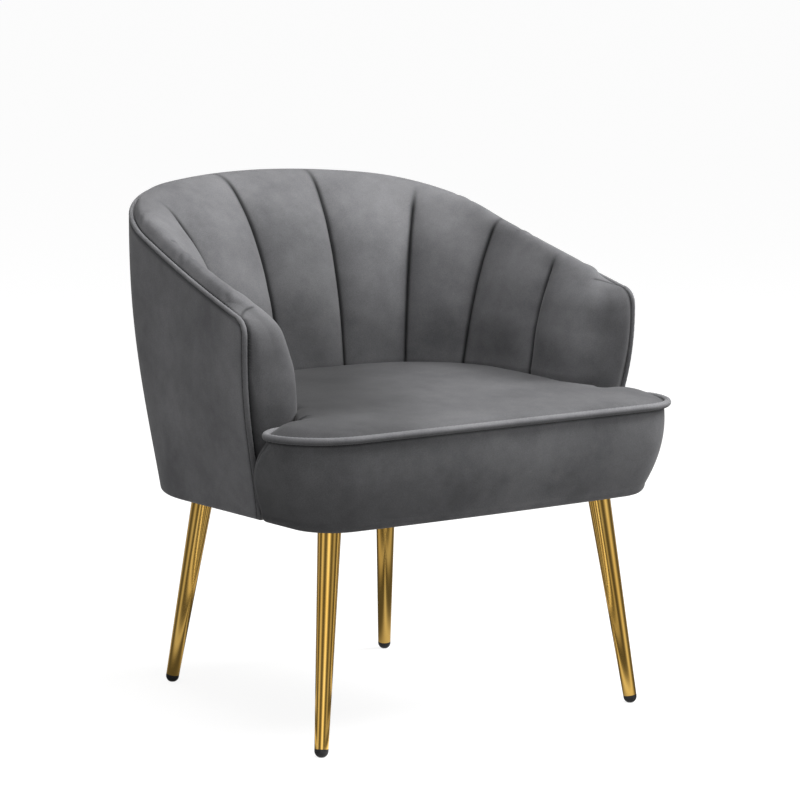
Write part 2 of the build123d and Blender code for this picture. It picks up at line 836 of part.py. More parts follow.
front_rail_inset = boxing_thickness + fit_gap
with BuildPart() as seat_front_rail:
    extrude(
        u_section(rail_bottom, seat_foot_plan, front_rail_inset, -side_rail_front + fit_gap, -1),
        amount=rail_height,
    )
    extrude(
        u_section(rail_bottom, seat_foot_plan, front_rail_inset + frame_thickness, 0, -1),
        amount=rail_height,
        mode=Mode.SUBTRACT,
    )
finish(seat_front_rail.part, "seat_front_rail")

deck_inset = pad_inset + fit_gap
with BuildPart() as deck_pad:
    with BuildSketch(Plane.XY.offset(deck_top - deck_thickness)):
        add(u_section(0, tub_base_plan, deck_inset, 0).faces())
        add(u_section(0, seat_foot_plan, deck_inset, 0, -1).faces())
    extrude(amount=deck_thickness)
finish(deck_pad.part, "deck_pad")


def reach_at(plan, x, inset):
    """Return y of a plan's closed end over x, at an inset."""
    centre_x, centre_y, first, _ = plan.arcs()
    bow = plan.bow - inset
    if abs(x) <= bow * sin(first):
        return plan.end - plan.bow + sqrt(bow**2 - x**2)
    return centre_y + sqrt((plan.corner - inset) ** 2 - (abs(x) - centre_x) ** 2)


rail_middle = frame_inset + frame_thickness / 2
front_middle = front_rail_inset + frame_thickness / 2
spring_z = rail_top + spring_wire / 2
spring_rows = []
for row in range(spring_count):
    x = (row - (spring_count - 1) / 2) * spring_pitch
    outer_x = abs(x) + spring_loop_width / 2
    start = -reach_at(seat_foot_plan, outer_x, front_middle)
    end = reach_at(tub_base_plan, outer_x, rail_middle)
    spring_rows.append((x, start, end))

with BuildPart() as seat_springs:
    for x, start, end in spring_rows:
        pitch = (end - start) / (spring_bars - 1)
        half = spring_loop_width / 2 - pitch / 2
        with BuildLine() as wire_route:
            for bar in range(spring_bars):
                y = start + bar * pitch
                way = 1 if bar % 2 == 0 else -1
                Line((x - way * half, y, spring_z), (x + way * half, y, spring_z))
                if bar < spring_bars - 1:
                    ThreePointArc(
                        (x + way * half, y, spring_z),
                        (x + way * (half + pitch / 2), y + pitch / 2, spring_z),
                        (x + way * half, y + pitch, spring_z),
                    )
        with BuildSketch(Plane(origin=wire_route.line @ 0, z_dir=wire_route.line % 0)):
            Circle(spring_wire / 2)
        sweep()
finish(seat_springs.part, "seat_springs")

clip_hollow = spring_wire + 2 * fit_gap
with BuildPart() as spring_clips:
    for x, start, end in spring_rows:
        for y, way in ((start, -1), (end, 1)):
            clip_side = Plane(origin=(x - clip_width / 2, y, rail_top), x_dir=(0, way, 0), z_dir=(way, 0, 0))
            with BuildSketch(clip_side):
                with BuildLine():
                    Polyline(
                        (clip_hollow / 2 + clip_length, 0),
                        (clip_hollow / 2 + clip_length, clip_thickness),
                        (clip_hollow / 2 + clip_thickness, clip_thickness),
                        (clip_hollow / 2 + clip_thickness, clip_height + clip_thickness),
                        (-clip_hollow / 2 - clip_thickness, clip_height + clip_thickness),
                        (-clip_hollow / 2 - clip_thickness, 0),
                        (-clip_hollow / 2, 0),
                        (-clip_hollow / 2, clip_height),
                        (clip_hollow / 2, clip_height),
                        (clip_hollow / 2, 0),
                        close=True,
                    )
                make_face()
            extrude(amount=clip_width * way)
finish(spring_clips.part, "spring_clips")

print("building the legs")


@dataclass(frozen=True)
class Leg:
    """One splayed leg: where its axis meets the floor and how it leans on the way up."""

    name: str
    foot_x: float
    foot_y: float
    lean_x: float
    lean_y: float

    def at(self, z):
        """Return the point of the axis at a height."""
        return Vector(self.foot_x + self.lean_x * z, self.foot_y + self.lean_y * z, z)

    def plane(self, z):
        """Return the plane across the axis at a height, with its z along the leg."""
        return Plane(origin=self.at(z), x_dir=(1, 0, -self.lean_x), z_dir=(self.lean_x, self.lean_y, 1))


legs = []
for side, sign in (("right", -1), ("left", 1)):
    legs.append(
        Leg(f"front_{side}", sign * front_foot_x, front_foot_y, -sign * front_leg_outward, front_leg_forward)
    )
    legs.append(
        Leg(f"back_{side}", sign * back_foot_x, back_foot_y, -sign * back_leg_outward, -back_leg_backward)
    )


def inward(leg, amount):
    """Return the plan point a given amount toward the middle of the chair from the leg's top."""
    crown = leg.at(body_base)
    return crown.X - amount * (1 if leg.foot_x > 0 else -1), crown.Y - amount * (1 if leg.foot_y > 0 else -1)


def plate_screws(leg):
    """Return the plan points of the three screws that hold a leg plate, clear of the tube."""
    x, y = inward(leg, plate_shift)
    out_x = screw_spacing / 2 * (1 if leg.foot_x > 0 else -1)
    out_y = screw_spacing / 2 * (1 if leg.foot_y > 0 else -1)
    return [(x - out_x, y - out_y), (x + out_x, y - out_y), (x - out_x, y + out_y)]


screw_points = [point for leg in legs for point in plate_screws(leg)]
cap_radius = leg_foot_diameter / 2
bore_radius = screw_diameter / 2 + fit_gap / 2
sink_radius = screw_head_diameter / 2 + fit_gap / 2
on_foot = (Align.CENTER, Align.CENTER, Align.MIN)

for leg in legs:
    lower = leg.plane(cap_height)
    length = (body_base - cap_height) * hypot(1, leg.lean_x, leg.lean_y)
    spare = leg_top_diameter
    flare = (leg_top_diameter - leg_foot_diameter) / 2 / length
    top_radius = cap_radius + flare * (length + spare)
    with BuildPart(lower) as leg_tube:
        Cone(cap_radius, top_radius, length + spare, align=on_foot)
        Cone(cap_radius - leg_wall, top_radius - leg_wall, length + spare, align=on_foot, mode=Mode.SUBTRACT)
        split(bisect_by=Plane.XY.offset(body_base), keep=Keep.BOTTOM)
    finish(leg_tube.part, f"leg_{leg.name}")

    ball_height = cap_radius - cap_flat_depth
    ball_drop = (cap_height - ball_height) * hypot(1, leg.lean_x, leg.lean_y)
    with BuildPart(lower) as foot_cap:
        with Locations((0, 0, -ball_drop)):
            Sphere(cap_radius)
        with Locations((0, 0, -ball_drop)):
            Cylinder(cap_radius, ball_drop, align=on_foot)
        split(bisect_by=lower, keep=Keep.BOTTOM)
        Cylinder(cap_radius - leg_wall - fit_gap, cap_stem_length, align=on_foot)
        split(bisect_by=Plane.XY, keep=Keep.TOP)
    finish(foot_cap.part, f"foot_cap_{leg.name}")

    with BuildPart() as leg_plate:
        with BuildSketch(Plane.XY.offset(body_base)):
            with Locations(inward(leg, plate_shift)):
                RectangleRounded(plate_size, plate_size, plate_corner)
        extrude(amount=plate_thickness)
        for x, y in plate_screws(leg):
            with Locations(Plane(origin=(x, y, body_base), z_dir=(0, 0, -1))):
                CounterSinkHole(bore_radius, sink_radius)
    finish(leg_plate.part, f"leg_plate_{leg.name}")

with BuildPart() as base_panel:
    with BuildSketch(Plane.XY.offset(panel_bottom)):
        add(u_section(0, tub_base_plan, frame_inset, 0).faces())
        add(u_section(0, seat_foot_plan, frame_inset + seat_overhang, 0, -1).faces())
        with Locations((0, (base_opening_front + base_opening_back) / 2)):
            RectangleRounded(
                2 * base_opening_half_width,
                base_opening_back - base_opening_front,
                base_opening_corner,
                mode=Mode.SUBTRACT,
            )
        with Locations(*screw_points):
            Circle(bore_radius, mode=Mode.SUBTRACT)
    extrude(amount=base_panel_thickness)
finish(base_panel.part, "base_panel")

with BuildPart() as leg_screws:
    head_height = (screw_head_diameter - screw_diameter) / 2
    with Locations(*[(x, y, body_base) for x, y in screw_points]):
        Cone(screw_head_diameter / 2, screw_diameter / 2, head_height, align=on_foot)
        Cylinder(screw_diameter / 2, screw_length, align=on_foot)
finish(leg_screws.part, "leg_screws")

with BuildPart() as dust_cover:
    with BuildSketch(Plane.XY.offset(panel_bottom - dust_cover_thickness)):
        add(u_section(0, tub_base_plan, dust_cover_inset, 0).faces())
        add(u_section(0, seat_foot_plan, dust_cover_inset + seat_overhang, 0, -1).faces())
        with Locations(*screw_points):
            Circle(bore_radius, mode=Mode.SUBTRACT)
    extrude(amount=dust_cover_thickness)
finish(dust_cover.part, "dust_cover")

staple_z = panel_bottom - dust_cover_thickness - staple_wire / 2
staple_clear = (plate_size + staple_length) / 2 + fit_gap
plates = [inward(leg, plate_shift) for leg in legs]
staple_inset = dust_cover_inset + staple_margin
staple_runs = ((tub_base_plan, 1, staple_inset), (seat_foot_plan, -1, staple_inset + seat_overhang))
with BuildPart() as staples:
    for step in range(staple_count):
        share = (step + 0.5) / staple_count
        for plan, way, inset in staple_runs:
            (x, y), normal = plan.point(share, inset)
            if any(abs(x - px) < staple_clear and abs(way * y - py) < staple_clear for px, py in plates):
                continue
            turn = -way * atan2(normal[0], normal[1]) * 180 / pi
            with Locations(Location((x, way * y, staple_z), (0, 0, turn))):
                Box(staple_length, staple_wire, staple_wire)
            with Locations(Location((-x, way * y, staple_z), (0, 0, -turn))):
                Box(staple_length, staple_wire, staple_wire)
finish(staples.part, "dust_cover_staples")
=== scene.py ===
"""Dresses the tub chair: grey velvet upholstery, piping, gold tube legs and a plain studio.

Metres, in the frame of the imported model: the chair faces -Y, +Z is up and +X is the sitter's left.
Every new piece is a surface worked out on a grid of two parameters, or a profile carried along a path.
"""

from __future__ import annotations

import json
import logging
import math
from dataclasses import dataclass, field, replace
from enum import Enum

import bmesh
import bpy
import numpy as np
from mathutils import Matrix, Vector

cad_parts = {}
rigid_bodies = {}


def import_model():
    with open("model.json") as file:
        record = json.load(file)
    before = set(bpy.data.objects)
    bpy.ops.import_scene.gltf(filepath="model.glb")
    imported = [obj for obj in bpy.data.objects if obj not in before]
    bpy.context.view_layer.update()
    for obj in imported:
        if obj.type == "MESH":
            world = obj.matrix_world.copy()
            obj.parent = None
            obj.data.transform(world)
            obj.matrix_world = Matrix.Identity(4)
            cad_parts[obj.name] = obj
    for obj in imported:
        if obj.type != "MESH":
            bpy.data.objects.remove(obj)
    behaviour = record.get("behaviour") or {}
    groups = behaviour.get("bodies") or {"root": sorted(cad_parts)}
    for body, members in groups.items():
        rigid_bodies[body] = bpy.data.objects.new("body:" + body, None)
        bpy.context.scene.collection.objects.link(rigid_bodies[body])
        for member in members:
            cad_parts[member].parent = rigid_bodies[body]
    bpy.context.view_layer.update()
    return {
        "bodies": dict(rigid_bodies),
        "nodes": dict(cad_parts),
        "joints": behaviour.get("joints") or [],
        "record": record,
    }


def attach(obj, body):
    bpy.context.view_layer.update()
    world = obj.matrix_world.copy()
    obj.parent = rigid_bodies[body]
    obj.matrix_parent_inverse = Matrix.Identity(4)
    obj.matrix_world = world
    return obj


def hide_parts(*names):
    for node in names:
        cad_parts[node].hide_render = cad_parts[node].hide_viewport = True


LOG = logging.getLogger("tub_chair")
Array = np.ndarray
Colour = tuple[float, float, float]
Triple = tuple[float, float, float]
Pair = tuple[float, float]
Span = tuple[float, float]
BODY = "root"
CLOTH_WALL = 0.0022
UP = np.array([0.0, 0.0, 1.0])
WHITE = (1.0, 1.0, 1.0, 1.0)


class Side(Enum):
    """The sitter's left and right, with the sign of x."""

    LEFT = 1
    RIGHT = -1


class Slot(Enum):
    """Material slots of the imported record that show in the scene."""

    VELVET = "velvet"
    PIPING = "piping"
    FELT = "deck_felt"
    DUST_CLOTH = "dust_cloth"
    BOARD = "liner_board"
    TIMBER = "timber"
    SPRING = "spring_steel"
    LEG = "leg"
    PLATE = "leg_plate"
    SCREW = "screw"
    FOOT = "foot_cap"


def mix(low: Array | float, high: Array | float, share: Array | float) -> Array | float:
    """Return the value a share of the way from low to high."""
    return low + (high - low) * share


def smooth_step(low: Array | float, high: Array | float, value: Array) -> Array:
    """Return 0 below low, 1 above high and a smooth rise between them."""
    share = np.clip((value - low) / (high - low), 0.0, 1.0)
    return share * share * (3.0 - 2.0 * share)


def hump(rise: Span, fall: Span, value: Array) -> Array:
    """Return 0, a smooth rise to 1 over one span of the value, and a smooth fall to 0 over another."""
    return smooth_step(*rise, value) * (1 - smooth_step(*fall, value))


def unit(vectors: Array) -> Array:
    """Return vectors of length one."""
    return vectors / np.maximum(np.linalg.norm(vectors, axis=-1, keepdims=True), 1e-12)


def bell(offset: Array, width: float) -> Array:
    """Return 1 where the offset is 0, falling away on either side in a Gaussian of a width."""
    return np.exp(-((offset / width) ** 2))


def grey(level: float) -> Colour:
    """Return a colour without a hue."""
    return level, level, level


def lengths_along(path: Array) -> Array:
    """Return how far along a path each of its points lies."""
    step = np.linalg.norm(np.diff(path, axis=0), axis=1)
    return np.concatenate([[0.0], np.cumsum(step)])


def at_lengths(path: Array, walked: Array, wanted: Array) -> Array:
    """Return the points at wanted lengths of a path, whose own points lie at the lengths walked."""
    return np.stack([np.interp(wanted, walked, path[:, axis]) for axis in range(3)], axis=1)


def evenly(path: Array, count: int) -> Array:
    """Return a path's points spread evenly along its length."""
    walked = lengths_along(path)
    return at_lengths(path, walked, np.linspace(0.0, walked[-1], count))


def gap_to(points: Array, line: Array) -> Array:
    """Return how far each point of a grid lies from the nearest point of a line."""
    apart = points.reshape(-1, 1, points.shape[-1]) - line[None]
    return np.linalg.norm(apart, axis=2).min(axis=1).reshape(points.shape[:2])


def on_left(points: Array) -> Array:
    """Return points with those of the right half mirrored to the left."""
    return points * np.where(points[..., :1] < 0, (-1, 1, 1), (1, 1, 1))


def grid_quads(rows: int, columns: int, wrap: bool) -> Array:
    """Return the quads of a grid of points.

    Args:
        rows: How many rows of points the grid has.
        columns: How many points each row has.
        wrap: Whether the last column joins the first.

    Returns:
        An array of four point numbers for each quad.
    """
    row = np.arange(rows - 1)[:, None]
    first = np.arange(columns if wrap else columns - 1)[None, :]
    second = (first + 1) % columns
    corners = [row * columns + first, row * columns + second]
    corners += [(row + 1) * columns + second, (row + 1) * columns + first]
    return np.stack(np.broadcast_arrays(*corners), axis=-1).reshape(-1, 4)


def surface_normals(points: Array) -> Array:
    """Return unit normals of a grid surface: the cross product of its two directions at each point.

    Args:
        points: A grid of points.

    Returns:
        A unit vector for each point.
    """
    along = np.gradient(points, axis=0)
    across = np.gradient(points, axis=1)
    return unit(np.cross(along, across))


@dataclass
class Piece:
    """One finished piece of the chair: its mesh, what it stands for and what it is made of.

    A closed piece wraps round and has its two ends capped, and a pole caps the last row alone. Normals, where
    given, are the true ones of the surface, so that pieces that share an edge shade as one. The painted seam
    shade darkens seams' creases and the velvet beside the piping, and the nap and shade paints the velvet
    lighter or darker, partly for the pile's lie and partly as painted light and shade.
    """

    name: str
    points: Array
    wrap: bool = False
    flip: bool = False
    closed: bool = False
    pole: bool = False
    normals: Array | None = None
    painted_seam_shade: Array | None = None
    nap_and_shade: Array | None = None

    def mesh(self) -> bpy.types.Object:
        """Make the mesh object from the grid of points.

        Returns:
            The new object, at the origin, with smooth faces that point outwards.
        """
        rows, columns, _ = self.points.shape
        quads = grid_quads(rows, columns, self.wrap or self.closed)
        faces = (quads[:, ::-1] if self.flip else quads).tolist()
        if self.closed or self.pole:
            faces.append(list(range((rows - 1) * columns, rows * columns)))
        if self.closed:
            faces.append(list(range(columns)))
        data = bpy.data.meshes.new(self.name)
        data.from_pydata(self.points.reshape(-1, 3).tolist(), [], faces)
        if self.closed:
            shell = bmesh.new()
            shell.from_mesh(data)
            bmesh.ops.recalc_face_normals(shell, faces=shell.faces)
            shell.to_mesh(data)
            shell.free()
        data.polygons.foreach_set("use_smooth", np.ones(len(data.polygons), bool))
        # Painted shade rides on the points: the seam mark for seams and piping, the other for nap, light and
        # shade.
        for name, values in (("seam", self.painted_seam_shade), ("nap_and_shade", self.nap_and_shade)):
            if values is not None:
                mark = data.attributes.new(name, "FLOAT", "POINT")
                mark.data.foreach_set("value", np.ascontiguousarray(values, np.float32).ravel())
        data.update()
        if self.normals is not None:
            data.normals_split_custom_set_from_vertices(self.normals.reshape(-1, 3).tolist())
        made = bpy.data.objects.new(self.name, data)
        bpy.context.scene.collection.objects.link(made)
        return made

    def place(self, finish: bpy.types.Material, slot: Slot, *nodes: str) -> bpy.types.Object:
        """Make the mesh, dress it and let it stand for CAD nodes.

        Args:
            finish: The material of the piece.
            slot: The record's material slot that the piece takes its finish from.
            nodes: The CAD nodes that the piece stands for.

        Returns:
            The object, riding on the chair's body.
        """
        made = self.mesh()
        made.data.materials.append(finish)
        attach(made, BODY)
        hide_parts(*nodes)
        LOG.info("%s stands for %s", self.name, ", ".join(nodes))
        return made


def tube_along(path: Array, radius: Array | float, centre: Array, sides: int = 14) -> Array:
    """Carry a circle along a path.

    The circle's first direction points away from a centre, square to the path, and its second one is the
    cross product of the path's direction and the first.

    Args:
        path: Points of the path, one row each.
        radius: Radius of the tube, one value or one per point.
        centre: A point that the path goes round.
        sides: How many points the circle has.

    Returns:
        A grid of points, one row for each point of the path.
    """
    direction = unit(np.gradient(path, axis=0))
    outward = path - centre
    outward = unit(outward - np.sum(outward * direction, axis=1, keepdims=True) * direction)
    upward = np.cross(direction, outward)
    angle = np.linspace(0.0, 2.0 * np.pi, sides, endpoint=False)
    ring = np.broadcast_to(np.asarray(radius, float), path.shape[:1])[:, None, None]
    first = np.cos(angle)[None, :, None] * outward[:, None, :]
    second = np.sin(angle)[None, :, None] * upward[:, None, :]
    return path[:, None, :] + ring * (first + second)


def give_wall(cloth: bpy.types.Object) -> None:
    """Give a cloth its thickness, on its inner side.

    Args:
        cloth: The cloth's object.
    """
    wall = cloth.modifiers.new("thickness", "SOLIDIFY")
    wall.thickness = CLOTH_WALL
    wall.offset = -1.0


@dataclass(frozen=True)
class Plan:
    """Rounded U in plan: straight splayed sides, corner arcs and a bowed closed end at +y.

    The sides end at y = limit, half_width from the middle, and close in by the splay towards +y. The closed
    end lies at y = end, and corner and bow are radii. Each field is one number, or an array with one number
    for each point asked for.
    """

    half_width: Array | float
    limit: Array | float
    end: Array | float
    corner: Array | float
    bow: Array | float
    splay: Array | float = 0.0

    def blended(self, other: Plan, share: Array) -> Plan:
        """Return the plan a share of the way to another plan."""
        names = ("half_width", "limit", "end", "corner", "bow", "splay")
        return Plan(*(mix(getattr(self, name), getattr(other, name), share) for name in names))

    def ended_at(self, limit: Array) -> Plan:
        """Return the same outline with its sides ending at another y."""
        half_width = self.half_width + (self.limit - limit) * np.tan(self.splay)
        return replace(self, half_width=half_width, limit=limit)

    def arcs(self) -> tuple[Array, Array, Array, Array]:
        """Return the corner arc's centre and its first and last angle, measured from +y.

        Returns:
            x and y of the centre, and both angles.
        """
        side = self.half_width * np.cos(self.splay) + self.limit * np.sin(self.splay)
        start_x = (side - self.corner) * np.cos(self.splay)
        start_y = (side - self.corner) * np.sin(self.splay) - (self.end - self.bow)
        along = -start_x * np.sin(self.splay) + start_y * np.cos(self.splay)
        rest = start_x**2 + start_y**2 - (self.bow - self.corner) ** 2
        travel = np.sqrt(along**2 - rest) - along
        centre_x = start_x - travel * np.sin(self.splay)
        centre_y = start_y + travel * np.cos(self.splay)
        first = np.arctan2(centre_x, centre_y)
        return centre_x, centre_y + self.end - self.bow, first, np.pi / 2 - self.splay

    def point(self, share: Array, inset: Array | float = 0.0) -> tuple[Array, Array, Array, Array]:
        """Walk along the outline.

        Args:
            share: How far to walk, from 0 at the closed end's middle to 1 at the +x side's end, or to -1 at
                the -x side's end.
            inset: How far inside the outline the point lies.

        Returns:
            x and y of the point, and x and y of the outward normal there.
        """
        turn = np.sign(share) + (share == 0)
        centre_x, centre_y, first, last = self.arcs()
        side_run = (centre_y + self.corner * np.cos(last) - self.limit) / np.cos(self.splay)
        bow_run = self.bow * first
        corner_run = self.corner * (last - first)
        walked = np.abs(share) * (bow_run + corner_run + side_run)
        on_bow = walked <= bow_run
        bow_angle = walked / self.bow
        corner_angle = np.minimum(first + (walked - bow_run) / self.corner, last)
        extra = np.maximum(0.0, walked - bow_run - corner_run)
        angle = np.where(on_bow, bow_angle, corner_angle)
        bow_radius = self.bow - inset
        corner_radius = self.corner - inset
        x = centre_x + corner_radius * np.sin(corner_angle) + extra * np.sin(self.splay)
        y = centre_y + corner_radius * np.cos(corner_angle) - extra * np.cos(self.splay)
        x = np.where(on_bow, bow_radius * np.sin(bow_angle), x)
        y = np.where(on_bow, self.end - self.bow + bow_radius * np.cos(bow_angle), y)
        return turn * x, y, turn * np.sin(angle), np.cos(angle)


@dataclass(frozen=True)
class TubForm:
    """The form that all of the tub's pieces share: its flared U, bowed arm fronts and rising rim."""

    # Plans at the foot, at the head and inside at the seat, and their heights
    foot_z: float = 0.303
    head_z: float = 0.740
    foot: Plan = Plan(0.287, -0.119, 0.244, 0.170, 0.940)
    head: Plan = Plan(0.3565, -0.178, 0.315, 0.183, 0.622, math.radians(9.2))
    seat_line: Plan = Plan(0.231, -0.150, 0.154, 0.160, 1.500)
    seat_line_z: float = 0.457
    # Arm front, as y and z of three points, its top corner and its bow outside the flare
    arm_foot: Pair = (-0.131, 0.303)
    arm_belly: Pair = (-0.160, 0.435)
    arm_tip: Pair = (-0.168, 0.574)
    corner_radius: float = 0.021
    arm_flare: float = 0.0145
    flare_top: float = 0.586
    flare_skew: float = 1.15
    # Rim and its piping
    rim_back_z: float = 0.728
    rim_sag: float = 0.006
    rim_overrun: float = 1.02
    welt_radius: float = 0.0035
    # Points of the worked-out lines
    rim_rounds: int = 40
    front_points: int = 80
    corner_points: int = 24
    rim_points: int = 260

    def plan(self, z: Array | float) -> Plan:
        """Return the outside plan at a height."""
        return self.foot.blended(self.head, (z - self.foot_z) / (self.head_z - self.foot_z))

    def arm_front(self, z: Array) -> Array:
        """Return y of the arm front at a height, on the circle through its foot, belly and tip.

        Args:
            z: Heights.

        Returns:
            y at each height.
        """
        (y1, z1), (y2, z2), (y3, z3) = self.arm_foot, self.arm_belly, self.arm_tip
        twist = 2 * ((y1 - y3) * (z2 - z3) - (y2 - y3) * (z1 - z3))
        first = (y1 - y3) * (y1 + y3) + (z1 - z3) * (z1 + z3)
        second = (y2 - y3) * (y2 + y3) + (z2 - z3) * (z2 + z3)
        centre_y = (first * (z2 - z3) - second * (z1 - z3)) / twist
        centre_z = (second * (y1 - y3) - first * (y2 - y3)) / twist
        radius = math.hypot(y1 - centre_y, z1 - centre_z)
        return centre_y - np.sqrt(radius**2 - (z - centre_z) ** 2)

    def flare(self, z: Array) -> Array:
        """Return how far the arm front stands outside the straight flare: a skewed half sine."""
        share = np.clip((z - self.foot_z) / (self.flare_top - self.foot_z), 0.0, 1.0)
        return self.arm_flare * np.sin(np.pi * share**self.flare_skew)

    def rim_height(self, y: Array) -> Array:
        """Return the height of the rim over y: a straight rise with a shallow sag."""
        share = (y - self.arm_tip[0]) / (self.head.end - self.arm_tip[0])
        return mix(self.arm_tip[1], self.rim_back_z, share) - 4 * self.rim_sag * share * (1 - share)

    def corner_centre(self) -> Triple:
        """Return y and z of the middle of the arm's round top corner, and the angle where the rim starts.

        Returns:
            y, z and the angle in radians.
        """
        y = self.arm_tip[0] + self.corner_radius
        step = 0.001
        slope = float(self.rim_height(y + step) - self.rim_height(y)) / step
        z = float(self.rim_height(y)) - self.corner_radius * math.hypot(1.0, slope)
        return y, z, math.pi / 2 + math.atan(slope)

    def rim(self, share: Array) -> tuple[Array, Array, Array, Array, Array]:
        """Return x, y and z of the rim at a share of the U, and x and y of the outward normal.

        The rim's height hangs on y and y on the plan at that height, so both are found in rounds.

        Args:
            share: Shares of the U.

        Returns:
            x, y, z and the normal's x and y.
        """
        z = np.full(np.shape(share), self.rim_back_z)
        for _ in range(self.rim_rounds):
            x, y, normal_x, normal_y = self.plan(z).point(share)
            z = self.rim_height(y)
        return x, y, z, normal_x, normal_y

    def edge_x(self, y: Array, z: Array) -> Array:
        """Return x of the tub's outside on the straight part of the left arm."""
        plan = self.plan(z)
        return plan.half_width + (plan.limit - y) * np.tan(plan.splay) + self.flare(z)

    def brow(self, y: Array) -> Array:
        """Return the height of the tub's edge over y: the rim, rounded off at the arm's top corner.

        Args:
            y: Places along y.

        Returns:
            A height for each of them.
        """
        corner_y, corner_z, meets = self.corner_centre()
        round_off = corner_z + np.sqrt(np.maximum(self.corner_radius**2 - (y - corner_y) ** 2, 0.0))
        return np.where(y < corner_y + self.corner_radius * math.cos(meets), round_off, self.rim_height(y))

    def edge_path(self, inset: float, low: float) -> Array:
        """Return the left half of the tub's edge: up the arm front, round its corner and along the rim.

        Args:
            inset: How far inside the tub's outside the line runs.
            low: The height that it starts from.

        Returns:
            Points from the arm front's foot to the middle of the back.
        """
        corner_y, corner_z, meets = self.corner_centre()
        z = np.linspace(low, corner_z, self.front_points)
        y = self.arm_front(z)
        front = np.stack([self.edge_x(y, z) - inset, y, z], axis=1)
        angle = np.linspace(math.pi, meets, self.corner_points)[1:]
        y = corner_y + self.corner_radius * np.cos(angle)
        z = corner_z + self.corner_radius * np.sin(angle)
        corner = np.stack([self.edge_x(y, z) - inset, y, z], axis=1)
        x, y, z, normal_x, normal_y = self.rim(np.linspace(self.rim_overrun, 0.0, self.rim_points))
        rim = np.stack([x - inset * normal_x, y - inset * normal_y, z], axis=1)
        clear = 0.002
        return np.concatenate([front, corner, rim[rim[:, 1] > corner[-1, 1] + clear]])

    def welt_path(self, count: int) -> Array:
        """Return the middle line of the tub's piping, from the left arm's foot round to the right arm's.

        Args:
            count: How many points the line has.

        Returns:
            Points of the line, one row each.
        """
        half = self.edge_path(self.welt_radius, self.foot_z + self.welt_radius)
        whole = np.concatenate([half, (half * (-1, 1, 1))[-2::-1]])
        return evenly(whole, count)


@dataclass(frozen=True)
class Velvet:
    """Short-pile velvet: soft blotches where the pile lies another way, a fine pile and a sheen."""

    name: str
    deep: Colour
    light: Colour
    sheen: float = 0.12
    sheen_roughness: float = 0.35
    roughness: float = 0.85
    roughness_spread: float = 0.16
    specular: float = 0.12
    blotch_scale: float = 9.0
    mottle_scale: float = 55.0
    pile_scale: float = 750.0
    blotch_share: float = 0.72
    mottle_share: float = 0.28
    shade_stops: Span = (0.34, 0.66)
    speck_stops: Span = (0.3, 0.7)
    pile_bump: Pair = (0.22, 0.0004)
    mottle_bump: Pair = (0.12, 0.0012)
    dark_speck: float = 0.78
    light_speck: float = 1.04
    seam_shade: float = 0.06

    def material(self) -> bpy.types.Material:
        """Return the material: two noises mix the shades, a third one specks and roughens the pile.

        The mesh's own marks paint shade into the seams and beside the piping, and paint the nap and shade.

        Returns:
            The velvet's material.
        """
        bench = NodeBench(self.name)
        place = bench.add("ShaderNodeTexCoord").outputs["Object"]
        blotch = bench.noise(place, scale=self.blotch_scale, detail=3.0, roughness=0.55)
        mottle = bench.noise(place, scale=self.mottle_scale, detail=4.0, roughness=0.6)
        pile_and_shade = bench.noise(place, scale=self.pile_scale, detail=3.0, roughness=0.6)
        wide = bench.math("MULTIPLY", blotch, self.blotch_share)
        lie_and_shade = bench.math("ADD", wide, bench.math("MULTIPLY", mottle, self.mottle_share))
        shade = bench.ramp(lie_and_shade, self.shade_stops, (self.deep, self.light))
        speck = bench.ramp(pile_and_shade, self.speck_stops, (grey(self.dark_speck), grey(self.light_speck)))
        # Painted shade: the seam mark darkens the colour in the seams' creases and beside the piping.
        crease = bench.ramp(bench.mark("seam"), (0.0, 1.0), (grey(1.0), grey(self.seam_shade)))
        # Painted light and shade: the nap and shade mark lightens or darkens the colour, partly for the
        # pile's lie.
        brushed_and_shaded = bench.multiply(shade, bench.math("ADD", bench.mark("nap_and_shade"), 1.0))
        bench.link(bench.multiply(bench.multiply(brushed_and_shaded, speck), crease), "Base Color")
        low = self.roughness - self.roughness_spread / 2
        bench.link(bench.math("MULTIPLY_ADD", mottle, self.roughness_spread, low), "Roughness")
        bench.bump([(pile_and_shade, *self.pile_bump), (mottle, *self.mottle_bump)])
        bench.set("Sheen Weight", self.sheen)
        bench.set("Sheen Roughness", self.sheen_roughness)
        bench.set("Specular IOR Level", self.specular)
        return bench.material


@dataclass(frozen=True)
class PlainFinish:
    """A finish of one shade with fine variation: wood, board, felt, plastic or metal."""

    name: str
    deep: Colour
    light: Colour
    metallic: float = 0.0
    roughness: float = 0.6
    roughness_spread: float = 0.1
    grain: Triple = (40.0, 40.0, 40.0)
    relief: float = 0.0003
    stops: Span = (0.35, 0.65)
    bump: float = 0.15

    def material(self) -> bpy.types.Material:
        """Return the material: one stretched noise drives the shade, the roughness and the relief.

        Returns:
            The finish's material.
        """
        bench = NodeBench(self.name)
        place = bench.add("ShaderNodeTexCoord").outputs["Object"]
        turned = bench.mapping(place, self.grain)
        figure = bench.noise(turned, scale=1.0, detail=5.0, roughness=0.6)
        bench.link(bench.ramp(figure, self.stops, (self.deep, self.light)), "Base Color")
        low = self.roughness - self.roughness_spread / 2
        bench.link(bench.math("MULTIPLY_ADD", figure, self.roughness_spread, low), "Roughness")
        bench.bump([(figure, self.bump, self.relief)])
        bench.set("Metallic", self.metallic)
        return bench.material


